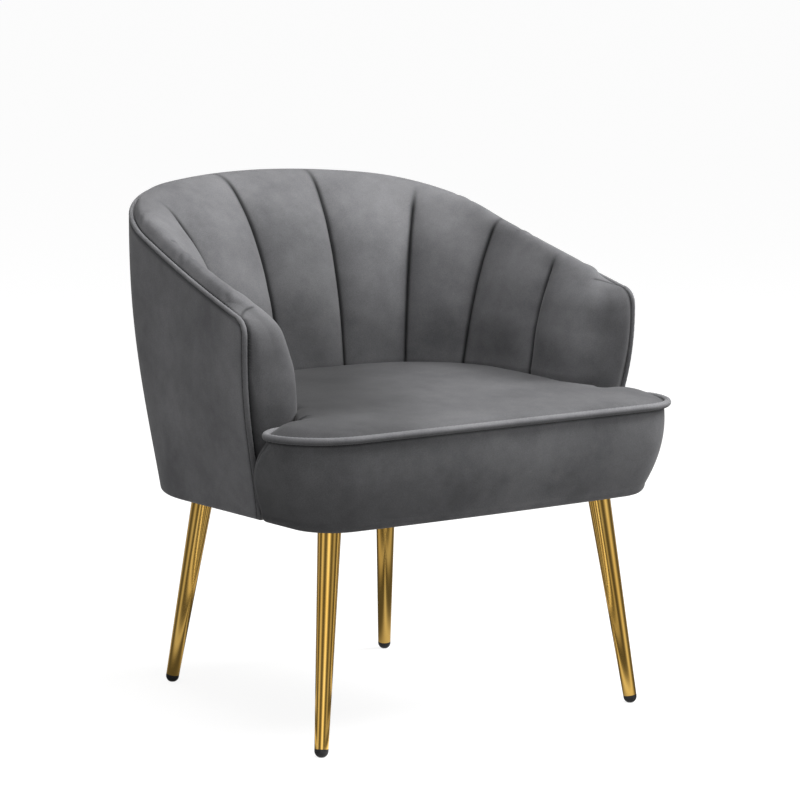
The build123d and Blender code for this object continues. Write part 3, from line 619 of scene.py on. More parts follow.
class NodeBench:
    """A small bench for wiring one Principled material."""

    def __init__(self, name: str) -> None:
        """Start a material with an empty Principled shader.

        Args:
            name: Name of the material.
        """
        self.material = bpy.data.materials.new(name)
        self.material.use_nodes = True
        self.tree = self.material.node_tree
        self.shader = next(node for node in self.tree.nodes if node.type == "BSDF_PRINCIPLED")

    def add(self, kind: str) -> bpy.types.Node:
        """Add a node."""
        return self.tree.nodes.new(kind)

    def feed(self, socket: bpy.types.NodeSocket, value: bpy.types.NodeSocket | float) -> None:
        """Link a socket to a socket, or set its value.

        Args:
            socket: An input of a node.
            value: What feeds it.
        """
        if isinstance(value, bpy.types.NodeSocket):
            self.tree.links.new(value, socket)
        else:
            socket.default_value = value

    def link(self, source: bpy.types.NodeSocket, name: str) -> None:
        """Link a socket to the shader."""
        self.tree.links.new(source, self.shader.inputs[name])

    def set(self, name: str, value: float) -> None:
        """Set one of the shader's own sockets."""
        self.shader.inputs[name].default_value = value

    def noise(
        self, place: bpy.types.NodeSocket, scale: float, detail: float, roughness: float
    ) -> bpy.types.NodeSocket:
        """Return a noise from 0 to 1 at a place.

        Args:
            place: Where the noise is read.
            scale: How fine it is.
            detail: How many finer layers it has.
            roughness: How strong these are.

        Returns:
            The noise's socket.
        """
        node = self.add("ShaderNodeTexNoise")
        self.tree.links.new(place, node.inputs["Vector"])
        node.inputs["Scale"].default_value = scale
        node.inputs["Detail"].default_value = detail
        node.inputs["Roughness"].default_value = roughness
        return node.outputs["Fac"]

    def mark(self, name: str) -> bpy.types.NodeSocket:
        """Return one of the marks that a mesh carries at its points.

        Args:
            name: Name of the mark.

        Returns:
            The mark's socket.
        """
        node = self.add("ShaderNodeAttribute")
        node.attribute_name = name
        return node.outputs["Fac"]

    def mapping(self, place: bpy.types.NodeSocket, scale: Triple) -> bpy.types.NodeSocket:
        """Return a place stretched along each axis.

        Args:
            place: The place's socket.
            scale: The stretch along x, y and z.

        Returns:
            The stretched place's socket.
        """
        node = self.add("ShaderNodeMapping")
        self.tree.links.new(place, node.inputs["Vector"])
        node.inputs["Scale"].default_value = scale
        return node.outputs["Vector"]

    def math(
        self,
        operation: str,
        first: bpy.types.NodeSocket | float,
        second: bpy.types.NodeSocket | float,
        third: float = 0.0,
    ) -> bpy.types.NodeSocket:
        """Return the result of a sum on sockets or numbers.

        Args:
            operation: Blender's name of the sum.
            first: Its first term.
            second: Its second term.
            third: Its third term, where it has one.

        Returns:
            The result's socket.
        """
        node = self.add("ShaderNodeMath")
        node.operation = operation
        for socket, value in zip(node.inputs, (first, second, third)):
            self.feed(socket, value)
        return node.outputs[0]

    def ramp(
        self, value: bpy.types.NodeSocket, stops: Span, colours: tuple[Colour, Colour]
    ) -> bpy.types.NodeSocket:
        """Return a colour that runs from the first to the second between two stops of a value.

        Args:
            value: What the colour hangs on.
            stops: The values between which it runs.
            colours: The colours at these values.

        Returns:
            The colour's socket.
        """
        node = self.add("ShaderNodeValToRGB")
        self.tree.links.new(value, node.inputs["Fac"])
        for element, position, colour in zip(node.color_ramp.elements, stops, colours):
            element.position = position
            element.color = (*colour, 1.0)
        return node.outputs["Color"]

    def multiply(self, first: bpy.types.NodeSocket, second: bpy.types.NodeSocket) -> bpy.types.NodeSocket:
        """Return the product of two colours.

        Args:
            first: One colour.
            second: The other colour, or a grey level.

        Returns:
            The product's socket.
        """
        node = self.add("ShaderNodeMix")
        node.data_type = "RGBA"
        node.blend_type = "MULTIPLY"
        node.inputs["Factor"].default_value = 1.0
        self.tree.links.new(first, node.inputs["A"])
        self.tree.links.new(second, node.inputs["B"])
        return node.outputs["Result"]

    def bump(self, layers: list[tuple[bpy.types.NodeSocket, float, float]]) -> None:
        """Chain bumps, each with a height, a strength and a distance, into the shader's normal.

        Args:
            layers: Socket, strength and distance of each bump.
        """
        normal = None
        for height, strength, distance in layers:
            node = self.add("ShaderNodeBump")
            node.inputs["Strength"].default_value = strength
            node.inputs["Distance"].default_value = distance
            self.tree.links.new(height, node.inputs["Height"])
            if normal is not None:
                self.tree.links.new(normal, node.inputs["Normal"])
            normal = node.outputs["Normal"]
        self.link(normal, "Normal")


@dataclass
class OuterShell:
    """Velvet stretched round the outside of the tub, turned in under the base and under the rim's piping."""

    form: TubForm
    # Edges: the fold under the base, the gap behind the arm fronts and the tuck behind the piping
    fold_radius: float = 0.006
    turn_under: float = 0.022
    under_gap: float = 0.0004
    front_gap: float = 0.0015
    edge_drop: float = 0.001
    tuck_drops: Pair = (0.0005, 0.003)
    tuck_insets: Pair = (0.0025, 0.005)
    # Bulge of the face, and the shares of the way round where the arm's bow sets in
    fullness: float = 0.0035
    corner_fullness: float = 0.004
    corner_share: float = 0.42
    corner_spread: float = 0.2
    belly_skew: float = 1.25
    fade_power: int = 6
    flare_shares: Span = (0.55, 0.97)
    # Painted shade beside the piping, and painted light over the whole shell
    stitch_shade: float = 0.75
    stitch_width: float = 0.0030
    lie_and_shade: float = 0.12
    # Grid
    middle_overlap: float = 0.01
    piping_points: int = 400
    columns: int = 301
    rows: int = 90
    fold_rows: int = 6
    top_rounds: int = 80

    def points(self) -> Array:
        """Return the shell's grid: each column climbs the tub's outside at a share of the way round.

        The face bulges by a half sine over its height, more in the back corners. A quarter circle folds its
        foot under the base and its head dips behind the piping.

        Returns:
            A grid of points, from under the base up to the tuck.
        """
        share = np.linspace(-1.0, 1.0, self.columns)[None, :]
        top = self._top(share)
        climb = np.linspace(0.0, 1.0, self.rows)[:, None]
        low = self.form.foot_z + self.fold_radius
        belly = np.sin(np.pi * climb**self.belly_skew)
        corners = bell(np.abs(share) - self.corner_share, self.corner_spread)
        fade = 1.0 - np.abs(share) ** self.fade_power
        fullness = belly * (self.fullness + self.corner_fullness * corners) * fade
        face = self._at(share, mix(low, top - self.edge_drop, climb), -fullness)
        angle = np.linspace(0.0, np.pi / 2, self.fold_rows + 1)[1:, None]
        fold_z = low - self.fold_radius * np.sin(angle)
        fold = self._at(share, fold_z, self.fold_radius * (1 - np.cos(angle)))
        under_z = np.array([[self.form.foot_z + self.under_gap]])
        under = self._at(share, under_z, np.array([[self.turn_under]]))
        tuck_z = top - np.array(self.tuck_drops)[:, None]
        tuck = self._at(share, tuck_z, np.array(self.tuck_insets)[:, None])
        return np.concatenate([under, fold[::-1], face, tuck])

    def painted_seam_shade(self, points: Array) -> Array:
        """Return the painted shade along the stitched line beside the piping: a bell over the distance from
        it.

        Args:
            points: The shell's grid.

        Returns:
            The mark of each point.
        """
        piping = self.form.welt_path(self.piping_points)
        gap = gap_to(on_left(points), piping[piping[:, 0] > -self.middle_overlap])
        return self.stitch_shade * bell(gap - self.form.welt_radius, self.stitch_width)

    def _top(self, share: Array) -> Array:
        """Return the height of the tub's edge at shares of the way round, found in rounds as the rim is.

        Args:
            share: Shares of the way round.

        Returns:
            A height for each share.
        """
        top = np.full(share.shape, self.form.rim_back_z)
        for _ in range(self.top_rounds):
            _, y, _, _ = self._plan(top).point(share)
            top = 0.5 * top + 0.5 * self.form.brow(y)
        return top

    def _plan(self, z: Array) -> Plan:
        """Return the outside plan at a height, with its sides ending behind the arm fronts."""
        return self.form.plan(z).ended_at(self.form.arm_front(z) + self.front_gap)

    def _at(self, share: Array, z: Array, inset: Array) -> Array:
        """Return points of the tub's outside at shares of the way round, heights and insets.

        Args:
            share: Shares of the way round.
            z: Heights.
            inset: How far inside the outline the points lie.

        Returns:
            A grid of points.
        """
        share, z, inset = np.broadcast_arrays(share, z, inset)
        inset = inset - self.form.flare(z) * smooth_step(*self.flare_shares, np.abs(share))
        x, y, _, _ = self._plan(z).point(share, inset)
        return np.stack([x, y, z], axis=-1)

    def build(self, velvet: bpy.types.Material) -> None:
        """Make the shell with a cloth's thickness.

        Args:
            velvet: The shell's material.
        """
        points = self.points()
        # Painted light: the whole shell is painted a little lighter than the rest of the velvet.
        nap_and_shade = np.full(points.shape[:2], self.lie_and_shade)
        piece = Piece("outer_shell", points, flip=True, painted_seam_shade=self.painted_seam_shade(points), nap_and_shade=nap_and_shade)
        shell = piece.place(velvet, Slot.VELVET, "outer_cover")
        give_wall(shell)


@dataclass(frozen=True)
class Puckers:
    """Short puckers: a sine of uneven length along a seam, which dies out beside it."""

    height: float = 0.0010
    length: float = 0.0105
    drift_length: float = 0.05
    drift: float = 3.0
    fade: float = 7.0
    seam_power: float = 8.0
    rise: Span = (0.0, 0.15)
    fall: Span = (0.75, 0.95)

    def lift(self, surface: Array, level: Array, from_seam: Array, phase: float) -> Array:
        """Return how far the puckers lift a channel.

        Args:
            surface: The smooth surface of a channel.
            level: Height share of each row.
            from_seam: How far each point is from its nearest seam, from 0 to 1.
            phase: Where the sine starts.

        Returns:
            A lift for each point.
        """
        walked = lengths_along(surface[:, 0])[:, None]
        drift = self.drift * np.sin(walked / self.drift_length + phase)
        wave = np.sin(walked / self.length + phase + drift)
        near = np.exp(-self.fade * from_seam) * (1 - (1 - from_seam) ** self.seam_power)
        return self.height * wave * near * hump(self.rise, self.fall, level)


@dataclass(frozen=True)
class SoftFolds:
    """Soft folds: a sine of uneven length that crosses the roll of the arms in patches."""

    height: float = 0.0008
    length: float = 0.0045
    drift_length: float = 0.03
    drift: float = 2.0
    slant: float = 4.0
    patch: float = 0.021
    rise: Span = (0.75, 0.95)
    fall: Span = (1.5, 1.9)
    arm_x: Span = (0.20, 0.30)

    def lift(self, surface: Array, level: Array) -> Array:
        """Return how far the folds lift the velvet.

        Args:
            surface: The smooth surface of a channel.
            level: Height share of each row.

        Returns:
            A lift for each point.
        """
        y = surface[..., 1]
        drift = self.drift * np.sin(y / self.drift_length)
        wave = np.sin(y / self.length + self.slant * level + drift)
        patches = np.maximum(np.sin(y / self.patch), 0.0) ** 2
        on_arm = smooth_step(*self.arm_x, np.abs(surface[..., 0]))
        return self.height * wave * patches * hump(self.rise, self.fall, level) * on_arm


@dataclass(frozen=True)
class HalfMoon:
    """Half-moon seam that crosses the top of an arm's front.

    It leaves the piping at the arm's corner, climbs in a quarter ellipse and droops with the cube of its run
    until it fades.
    """

    low: float = 0.66
    high: float = 0.818
    droop: float = 0.056
    turn: float = 0.75
    end: float = 0.90
    fade_share: float = 0.85
    width: float = 0.0019
    groove: float = 0.0006
    # How dark the painted shade along the seam is
    shade: float = 0.6
    count: int = 60

    def mark(self, surface: Array, climb: Array, across: Array, rows: slice) -> Array:
        """Find the seam's line on the grid and mark the points near it by a bell over their distance.

        Args:
            surface: The smooth surface of the front channel and the arm's front.
            climb: How far up each row lies, from 0 to 1.
            across: How far each point lies from the piping, from 0 to 1 at the channel.
            rows: The rows between the seat and the piping.

        Returns:
            The mark, from 0 to 1 on the seam.
        """
        along = np.linspace(0.0, self.end, self.count)
        round_up = np.sqrt(1 - (1 - np.clip(along / self.turn, 0.0, 1.0)) ** 2)
        height = mix(self.low, self.high, round_up) - self.droop * along**3
        row = np.interp(height, climb[rows], np.arange(len(climb))[rows])
        above = np.ceil(row).astype(int)
        columns = np.arange(across.shape[1])[::-1]
        column = np.array([np.interp(share, across[at, ::-1], columns) for share, at in zip(along, above)])
        behind = np.floor(column).astype(int)
        ahead = np.minimum(behind + 1, columns[0])
        up, on = (row - above + 1)[:, None], (column - behind)[:, None]
        lower = mix(surface[above - 1, behind], surface[above - 1, ahead], on)
        line = mix(lower, mix(surface[above, behind], surface[above, ahead], on), up)
        beside = np.linalg.norm(surface[:, :, None] - line[None, None], axis=3)
        fade = 1 - smooth_step(self.fade_share * self.end, self.end, along)
        return np.max(bell(beside, self.width) * fade, axis=2)


@dataclass(frozen=True)
class BackShade:
    """How the pile of the back looks: darker by the seat, lighter below the crest.

    The painted contrast is strongest in the middle of the back, and turns round on the left arm.
    """

    middle_width: float = 0.085
    left_x: Span = (0.12, 0.30)
    low: float = -0.24
    low_middle: float = -0.26
    low_left: float = 0.28
    high: float = 0.06
    high_middle: float = -0.04
    high_left: float = -0.06
    climb: float = 0.55
    climb_middle: float = 0.4

    def nap_and_shade(self, level: Array, x: Array) -> Array:
        """Return how much lighter or darker the back is painted at height shares and places across the back.

        Args:
            level: Height share of each row.
            x: x of each point.

        Returns:
            The nap of each point.
        """
        middle = bell(x, self.middle_width)
        left = smooth_step(*self.left_x, x)
        low = self.low + self.low_middle * middle + self.low_left * left
        high = self.high + self.high_middle * middle + self.high_left * left
        return mix(low, high, smooth_step(0.0, self.climb + self.climb_middle * middle, level))


@dataclass
class ChannelledBack:
    """Nine stuffed channels that fan out from the seat, fill the tub's inside and roll over its rim."""

    form: TubForm
    puckers: Puckers = Puckers()
    folds: SoftFolds = SoftFolds()
    moon: HalfMoon = HalfMoon()
    pile_and_shade: BackShade = BackShade()
    # Where the seams run: shares of the U at the seat line and at the rim
    low_shares: tuple[float, ...] = (0.122, 0.328, 0.509, 0.793)
    high_shares: tuple[float, ...] = (0.116, 0.384, 0.632, 0.825)
    # Smooth surface under the channels, seen from a point inside the tub
    heart: Triple = (0.0, -0.05, 0.62)
    foot_z: float = 0.378
    arm_lean: float = 0.20
    back_lean: float = 0.13
    arm_crest_inset: float = 0.026
    back_crest_inset: float = 0.012
    arm_crest_rise: float = 0.013
    back_crest_rise: float = 0.005
    roll_power: float = 2.1
    fall_power: float = 1.9
    edge_inset: float = 0.0068
    edge_rise: float = 0.0015
    tuck_drops: Pair = (0.004, 0.008)
    front_clearance: float = 0.013
    # Hidden back, on the board and under the lip of the roll
    board_inset: float = 0.034
    board_drop: float = 0.012
    board_dip: float = 0.010
    dip_power: int = 6
    board_end: Span = (0.97, 1.02)
    lip: float = 0.006
    # Stuffing of the channels and of the roll, with the levels where it sets in and ends
    fullness: float = 0.0160
    foot_fullness: float = 0.005
    full_rise: Span = (0.0, 0.4)
    full_fall: Span = (0.62, 1.02)
    crest_fullness: float = 0.0025
    crest_rise: Span = (0.6, 1.0)
    crest_fall: Span = (1.2, 1.95)
    round_power: float = 2.6
    round_root: float = 1.6
    squareness: float = 0.6
    # Seams, their creases, and the painted shade in them and beside the piping
    crease: float = 0.006
    crease_fade: float = 0.84
    crease_follow: float = 0.75
    seam_share: float = 0.052
    seam_tops: tuple[float, ...] = (1.06, 1.0, 1.06, 1.0)
    seam_fade: float = 0.14
    piping_shade: float = 0.95
    piping_gap: Span = (0.0018, 0.0054)
    # Where the puckers' sine starts, so that no two seams are alike
    phase_step: float = 1.7
    arm_phase: float = 0.9
    # Front channel of an arm and the wrap round its front
    arm_overrun: float = 0.03
    wrap_low: float = 0.90
    wrap_high: float = 0.905
    wrap_power: Triple = (3.6, 2.4, 3.2)
    wrap_middle: Span = (0.0, 0.45)
    wrap_top: Span = (0.6, 0.97)
    # Arm's front: its swell, its wall and its painted shade
    front_fullness: float = 0.008
    front_fall: Span = (0.40, 0.85)
    front_blend: Span = (0.5, 1.0)
    front_shoulder: float = 0.22
    front_power: float = 2.4
    front_wall: Pair = (0.012, 0.004)
    front_wall_end: Span = (0.9, 1.4)
    front_shade: float = -0.38
    front_shade_fall: Span = (0.55, 0.9)
    front_shade_blend: Span = (0.55, 1.0)
    facing_split: float = 0.52
    # Grid
    across: int = 65
    arm_columns: int = 36
    wrap_columns: int = 64
    rear_step: int = 4
    edge_rise_points: int = 20
    hidden_rows: int = 4
    face_rows: int = 112
    roll_rows: int = 16

    @property
    def edge_row(self) -> int:
        """Return the row that meets the piping, counted from the end: the tucked rows follow it."""
        return -len(self.tuck_drops) - 1

    def base(self, low: Array, high: Array) -> tuple[Array, Array, Array]:
        """Work out the smooth inner surface under the channels.

        From the seat up, the face leans back in a straight line and a superellipse bends it into the roll;
        past the crest it comes down in a power curve to the piping.

        Args:
            low: Shares of the U at the seat line, one for each column.
            high: Shares of the U at the rim, one for each column.

        Returns:
            The surface's grid, the grid of its hidden back, and the height share of each row, over 1 past
            the crest.
        """
        form = self.form
        foot_x, foot_y, _, _ = form.seat_line.point(low)
        rim_x, rim_y, rim_z, normal_x, normal_y = form.rim(high)
        faces_front = np.clip(normal_y, 0.0, 1.0)
        crest_inset = mix(self.arm_crest_inset, self.back_crest_inset, faces_front)
        crest_rise = mix(self.arm_crest_rise, self.back_crest_rise, faces_front)
        rise = rim_z + crest_rise - form.seat_line_z
        run = np.hypot(rim_x - foot_x, rim_y - foot_y)
        run_x, run_y = (rim_x - foot_x) / run, (rim_y - foot_y) / run
        lean = mix(self.arm_lean, self.back_lean, faces_front) * rise
        roll = run - crest_inset - lean
        swing = np.linspace(0.0, np.pi / 2, self.face_rows)[:, None]
        height = np.sin(swing) ** (2 / self.roll_power)
        reach = lean * height + roll * (1 - np.cos(swing) ** (2 / self.roll_power))
        face_z = form.seat_line_z + rise * height
        face = np.stack([foot_x + run_x * reach, foot_y + run_y * reach, face_z], axis=-1)
        low_z = np.linspace(self.foot_z, form.seat_line_z, self.hidden_rows + 1)[:-1, None]
        hidden_y = np.maximum(foot_y, form.arm_front(low_z) + self.front_clearance)
        hidden = np.stack(np.broadcast_arrays(foot_x, hidden_y, low_z), axis=-1)
        edge_x = rim_x - self.edge_inset * normal_x
        edge_y = rim_y - self.edge_inset * normal_y
        edge = np.stack([edge_x, edge_y, rim_z + self.edge_rise], axis=-1)
        over = np.linspace(0.0, 1.0, self.roll_rows + 1)[1:, None]
        roll_over = mix(face[-1:], edge, np.stack([over, over, over**self.fall_power], axis=-1))
        tuck = edge[None] - UP * np.array(self.tuck_drops)[:, None, None]
        surface = np.concatenate([hidden, face, roll_over, tuck])
        tucked = np.full(len(self.tuck_drops), 2.0)
        level = np.concatenate([np.zeros(self.hidden_rows), height[:, 0], 1.0 + over[:, 0], tucked])[:, None]
        board_z = np.minimum(surface[..., 2], rim_z - self.board_drop)
        board_z = board_z - self.board_dip * np.clip(level, 0.0, 1.0) ** self.dip_power
        board_share = np.broadcast_to(high, board_z.shape)
        board_x, board_y, _, _ = form.plan(board_z).point(board_share, self.board_inset)
        board = np.stack([board_x, board_y, board_z], axis=-1)
        past = smooth_step(*self.board_end, level)[..., None]
        return surface, mix(board, surface - UP * self.lip, past), level

    def swell(
        self, surface: Array, level: Array, from_seam: Array, phase: float, top: Array | float = 1.0
    ) -> tuple[Array, Array]:
        """Work out how far the stuffing lifts the velvet, and where shade is painted along its seams.

        Away from a seam the lift rises in a superellipse mixed with a parabola, so that a channel is gently
        round and drops into a crease. The creases fade below the crest, and past it the whole roll swells
        evenly. Puckers and soft folds are added, and shade is painted in the seams and beside the piping.

        Args:
            surface: The smooth surface.
            level: Height share of each row.
            from_seam: How far each point is from its nearest seam, from 0 to 1 in the middle of the channel.
            phase: Where the puckers start, so that no two seams are alike.
            top: The level where the seams have faded.

        Returns:
            The lift along the normal, and the painted shade of the seams and beside the piping.
        """
        superellipse = (1 - (1 - from_seam) ** self.round_power) ** (1 / self.round_root)
        parabola = 1 - (1 - from_seam) ** 2
        round_up = self.squareness * superellipse + (1 - self.squareness) * parabola
        full = mix(self.foot_fullness, self.fullness, smooth_step(*self.full_rise, level))
        full = full * (1 - smooth_step(*self.full_fall, level))
        crease_top = self.crease_follow * top + (1 - self.crease_follow)
        crease = self.crease * (1 - smooth_step(self.crease_fade, crease_top, level))
        roll = self.crest_fullness * hump(self.crest_rise, self.crest_fall, level)
        pucker = self.puckers.lift(surface, level, from_seam, phase)
        fold = self.folds.lift(surface, level)
        lift = full * round_up - crease * (1 - round_up) + pucker + roll + fold
        # Painted shade: the seams' creases and the velvet beside the piping are darkened.
        seam = bell(from_seam, self.seam_share) * (1 - smooth_step(top - self.seam_fade, top, level))
        edge = self.form.edge_path(self.edge_inset, self.foot_z)[::2]
        beside = 1 - smooth_step(*self.piping_gap, gap_to(on_left(surface), edge))
        return lift, np.maximum(seam, self.piping_shade * beside)

    def channel(self, name: str, first: int, second: int, phase: float) -> Piece:
        """Work out one channel between two seams.

        Args:
            name: Name of the piece.
            first: Number of the seam on its -x side, counted from the back's middle, negative on the right.
            second: Number of the seam on its +x side.
            phase: Where the puckers start.

        Returns:
            The closed piece.
        """
        step = 1.0 / (self.across - 1)
        u = np.linspace(-step, 1.0 + step, self.across + 2)
        low = mix(self._share(self.low_shares, first), self._share(self.low_shares, second), u)
        high = mix(self._share(self.high_shares, first), self._share(self.high_shares, second), u)
        surface, back, level = self.base(low, high)
        normal = -surface_normals(surface) * self._handed(surface)
        offset = np.abs(2 * u - 1)
        from_seam = np.where(offset > 1, offset - 1, 1 - offset)[None, :]
        tops = self.seam_tops
        top = mix(tops[abs(first) - 1], tops[abs(second) - 1], np.clip(u, 0.0, 1.0))
        lift, seam = self.swell(surface, level, from_seam, phase, top)
        # Painted shade in the seams, and painted shade over the back.
        marks = seam, self.pile_and_shade.nap_and_shade(level, surface[..., 0])
        return self._closed(name, surface + normal * lift[..., None], back, marks, slice(1, -1))

    def arm(self, side: Side) -> tuple[Piece, Piece]:
        """Work out the front channel of an arm and the arm's front, which continues it.

        The front swells and falls to the piping in a power curve, and a half-moon seam crosses its top.

        Args:
            side: Which arm.

        Returns:
            The channel and the facing, which share an edge and its normals.
        """
        run = np.linspace(-self.arm_overrun, 1.0, self.arm_columns)
        low = mix(self.low_shares[-1], self.wrap_low, run)
        high = mix(self.high_shares[-1], self.wrap_high, run)
        inside, back, level = self.base(low, high)
        front, across, climb = self._front(inside, level)
        surface = np.concatenate([inside, front], axis=1)
        normal = -surface_normals(surface) * self._handed(surface)
        from_seam = np.concatenate([np.abs(run), np.ones(self.wrap_columns)])[None, :]
        phase = self.arm_phase * side.value
        lift, seam = self.swell(surface, level, np.clip(from_seam, 0.0, 1.0), phase)
        across = np.concatenate([np.ones(inside.shape[:2]), across], axis=1)
        fall = 1 - (1 - np.clip(across / self.front_shoulder, 0.0, 1.0)) ** self.front_power
        bulge = self.front_fullness * (1 - smooth_step(*self.front_fall, climb))[:, None]
        lift = mix(bulge, lift, smooth_step(*self.front_blend, across)) * fall
        moon = self.moon.mark(surface, climb, across, slice(self.hidden_rows, self.edge_row))
        points = surface + normal * (lift - self.moon.groove * moon)[..., None]
        wall = mix(*self.front_wall, smooth_step(*self.front_wall_end, level))[..., None]
        behind = np.concatenate([back, (surface - normal * wall)[:, len(run):]], axis=1)
        nap_and_shade = self.pile_and_shade.nap_and_shade(level, surface[..., 0] * side.value)
        # Painted shade: the arm's front is painted darker low down, fading upwards.
        shown = 1 - smooth_step(*self.front_shade_fall, climb)
        front_painted_shade = np.minimum(self.front_shade, nap_and_shade) * shown[:, None]
        nap_and_shade = mix(front_painted_shade, nap_and_shade, smooth_step(*self.front_shade_blend, across))
        # Painted shade along the half-moon seam, as in the other seams.
        marks = np.maximum(seam, self.moon.shade * moon), nap_and_shade
        mirror = np.array([side.value, 1.0, 1.0])
        split = len(run) + int(self.facing_split * self.wrap_columns)
        name = side.name.lower()
        inner, outer = slice(1, split + 1), slice(split, None)
        channel = self._closed(f"padded_channel_{name}_4", points, behind, marks, inner, mirror)
        facing = self._closed(f"padded_arm_facing_{name}", points, behind, marks, outer, mirror)
        return channel, facing

    def _front(self, inside: Array, level: Array) -> tuple[Array, Array, Array]:
        """Carry each row of the front channel round the arm's front to the piping.

        The way is a quarter superellipse: it sets out square to the piping, and arrives in line with the
        channel.

        Args:
            inside: The smooth surface of the front channel.
            level: Height share of each row.

        Returns:
            The front's grid, how far across it each point lies, from 1 by the channel to 0 at the piping, and
            how far up each row lies, from 0 to 1.
        """
        last = inside[:, -1]
        rearward = unit(inside[:, -2] - last)
        edge, climb = self._front_edge(last, level)
        deep = np.sum((last - edge) * rearward, axis=1, keepdims=True) * rearward
        wide = last - edge - deep
        swing = np.linspace(1.0, 0.0, self.wrap_columns + 1)[1:] * np.pi / 2
        low_power, mid_power, top_power = self.wrap_power
        power = mix(low_power, mid_power, smooth_step(*self.wrap_middle, level))
        power = mix(power, top_power, smooth_step(*self.wrap_top, level))
        across = np.sin(swing) ** (2 / power)
        inward = 1 - np.cos(swing) ** (2 / power)
        front = edge[:, None] + wide[:, None] * across[..., None] + deep[:, None] * inward[..., None]
        return front, across, climb

    def _closed(
        self,
        name: str,
        front: Array,
        back: Array,
        marks: tuple[Array, Array],
        kept: slice,
        mirror: Array | float = 1.0,
    ) -> Piece:
        """Close a front surface with its back.

        Args:
            name: Name of the piece.
            front: The front's grid, wider than the piece, so that the normals are true up to its edges.
            back: The grid of the hidden back, as wide as the front's.
            marks: Painted seam shade, and nap and painted shade, of the front.
            kept: The columns that the piece keeps.
            mirror: What turns the points to the piece's own side.

        Returns:
            The closed piece, with the front's own normals.
        """
        normal = -surface_normals(front) * self._handed(front)
        rear = back[:, kept][:, :: -self.rear_step]
        blank = np.zeros(rear.shape)
        points = np.concatenate([front[:, kept], rear], axis=1) * mirror
        normals = np.concatenate([normal[:, kept], blank], axis=1) * mirror
        shown = [np.broadcast_to(mark, front.shape[:2])[:, kept] for mark in marks]
        painted_seam_shade, nap_and_shade = (np.concatenate([mark, blank[..., 0]], axis=1) for mark in shown)
        return Piece(name, points, closed=True, normals=normals, painted_seam_shade=painted_seam_shade, nap_and_shade=nap_and_shade)

    def _front_edge(self, last: Array, level: Array) -> tuple[Array, Array]:
        """Return where each row meets the piping on the arm's front, and how far up it lies from 0 to 1.

        Args:
            last: The front channel's last column, which the arm's front continues.
            level: Height share of each row.

        Returns:
            A point of the piping's edge for each row, and the row's place between the seat and the top.
        """
        upright = self.form.front_points
        meets = self.edge_row
        path = self.form.edge_path(self.edge_inset, self.foot_z)
        risen_by = upright + self.edge_rise_points
        path[:, 2] += self.edge_rise * smooth_step(upright, risen_by, np.arange(len(path)))
        clear = 0.001
        path = np.concatenate([path[path[:, 1] <= last[meets, 1] - clear], last[meets][None]])
        walked = lengths_along(path)
        start = float(np.interp(self.form.seat_line_z, path[:upright, 2], walked[:upright]))
        risen = lengths_along(last)
        by_seat = self.hidden_rows + 2
        seat = float(np.interp(self.form.seat_line_z, last[:by_seat, 2], risen[:by_seat]))
        climb = np.clip((risen - seat) / (risen[meets] - seat), 0.0, 1.0)
        low = np.interp(last[:, 2], path[:upright, 2], walked[:upright])
        wanted = np.where(level[:, 0] > 0, mix(start, walked[-1], climb), np.minimum(low, start))
        edge = at_lengths(path, walked, wanted)
        edge[meets + 1 :] = last[meets + 1 :]
        return edge, climb

    def _handed(self, surface: Array) -> float:
        """Return 1 where the rows' cross product points into the stuffing, else -1.

        Args:
            surface: A grid of points.

        Returns:
            1 or -1.
        """
        middle = surface.shape[0] // 3
        inward = np.array(self.heart) - surface[middle]
        return -float(np.sign(np.sum(surface_normals(surface)[middle] * inward, axis=-1).mean()))

    def _share(self, shares: tuple[float, ...], number: int) -> float:
        """Return the share of a seam by its number: 1 to 4 on the left, -1 to -4 on the right."""
        return math.copysign(shares[abs(number) - 1], number)

    def build(self, velvet: bpy.types.Material) -> None:
        """Make the seven channels of the back and, for each arm, its front channel and its facing.

        Args:
            velvet: The material of these pieces.
        """
        spans = {"channel_centre": (-1, 1)}
        for number in range(1, len(self.low_shares)):
            spans[f"channel_left_{number}"] = (number, number + 1)
            spans[f"channel_right_{number}"] = (-number - 1, -number)
        for order, (node, (first, second)) in enumerate(spans.items()):
            piece = self.channel(f"padded_{node}", first, second, self.phase_step * order)
            piece.place(velvet, Slot.VELVET, node)
        for side in Side:
            name = side.name.lower()
            channel, facing = self.arm(side)
            channel.place(velvet, Slot.VELVET, f"channel_{name}_4")
            facing.place(velvet, Slot.VELVET, f"arm_facing_{name}")


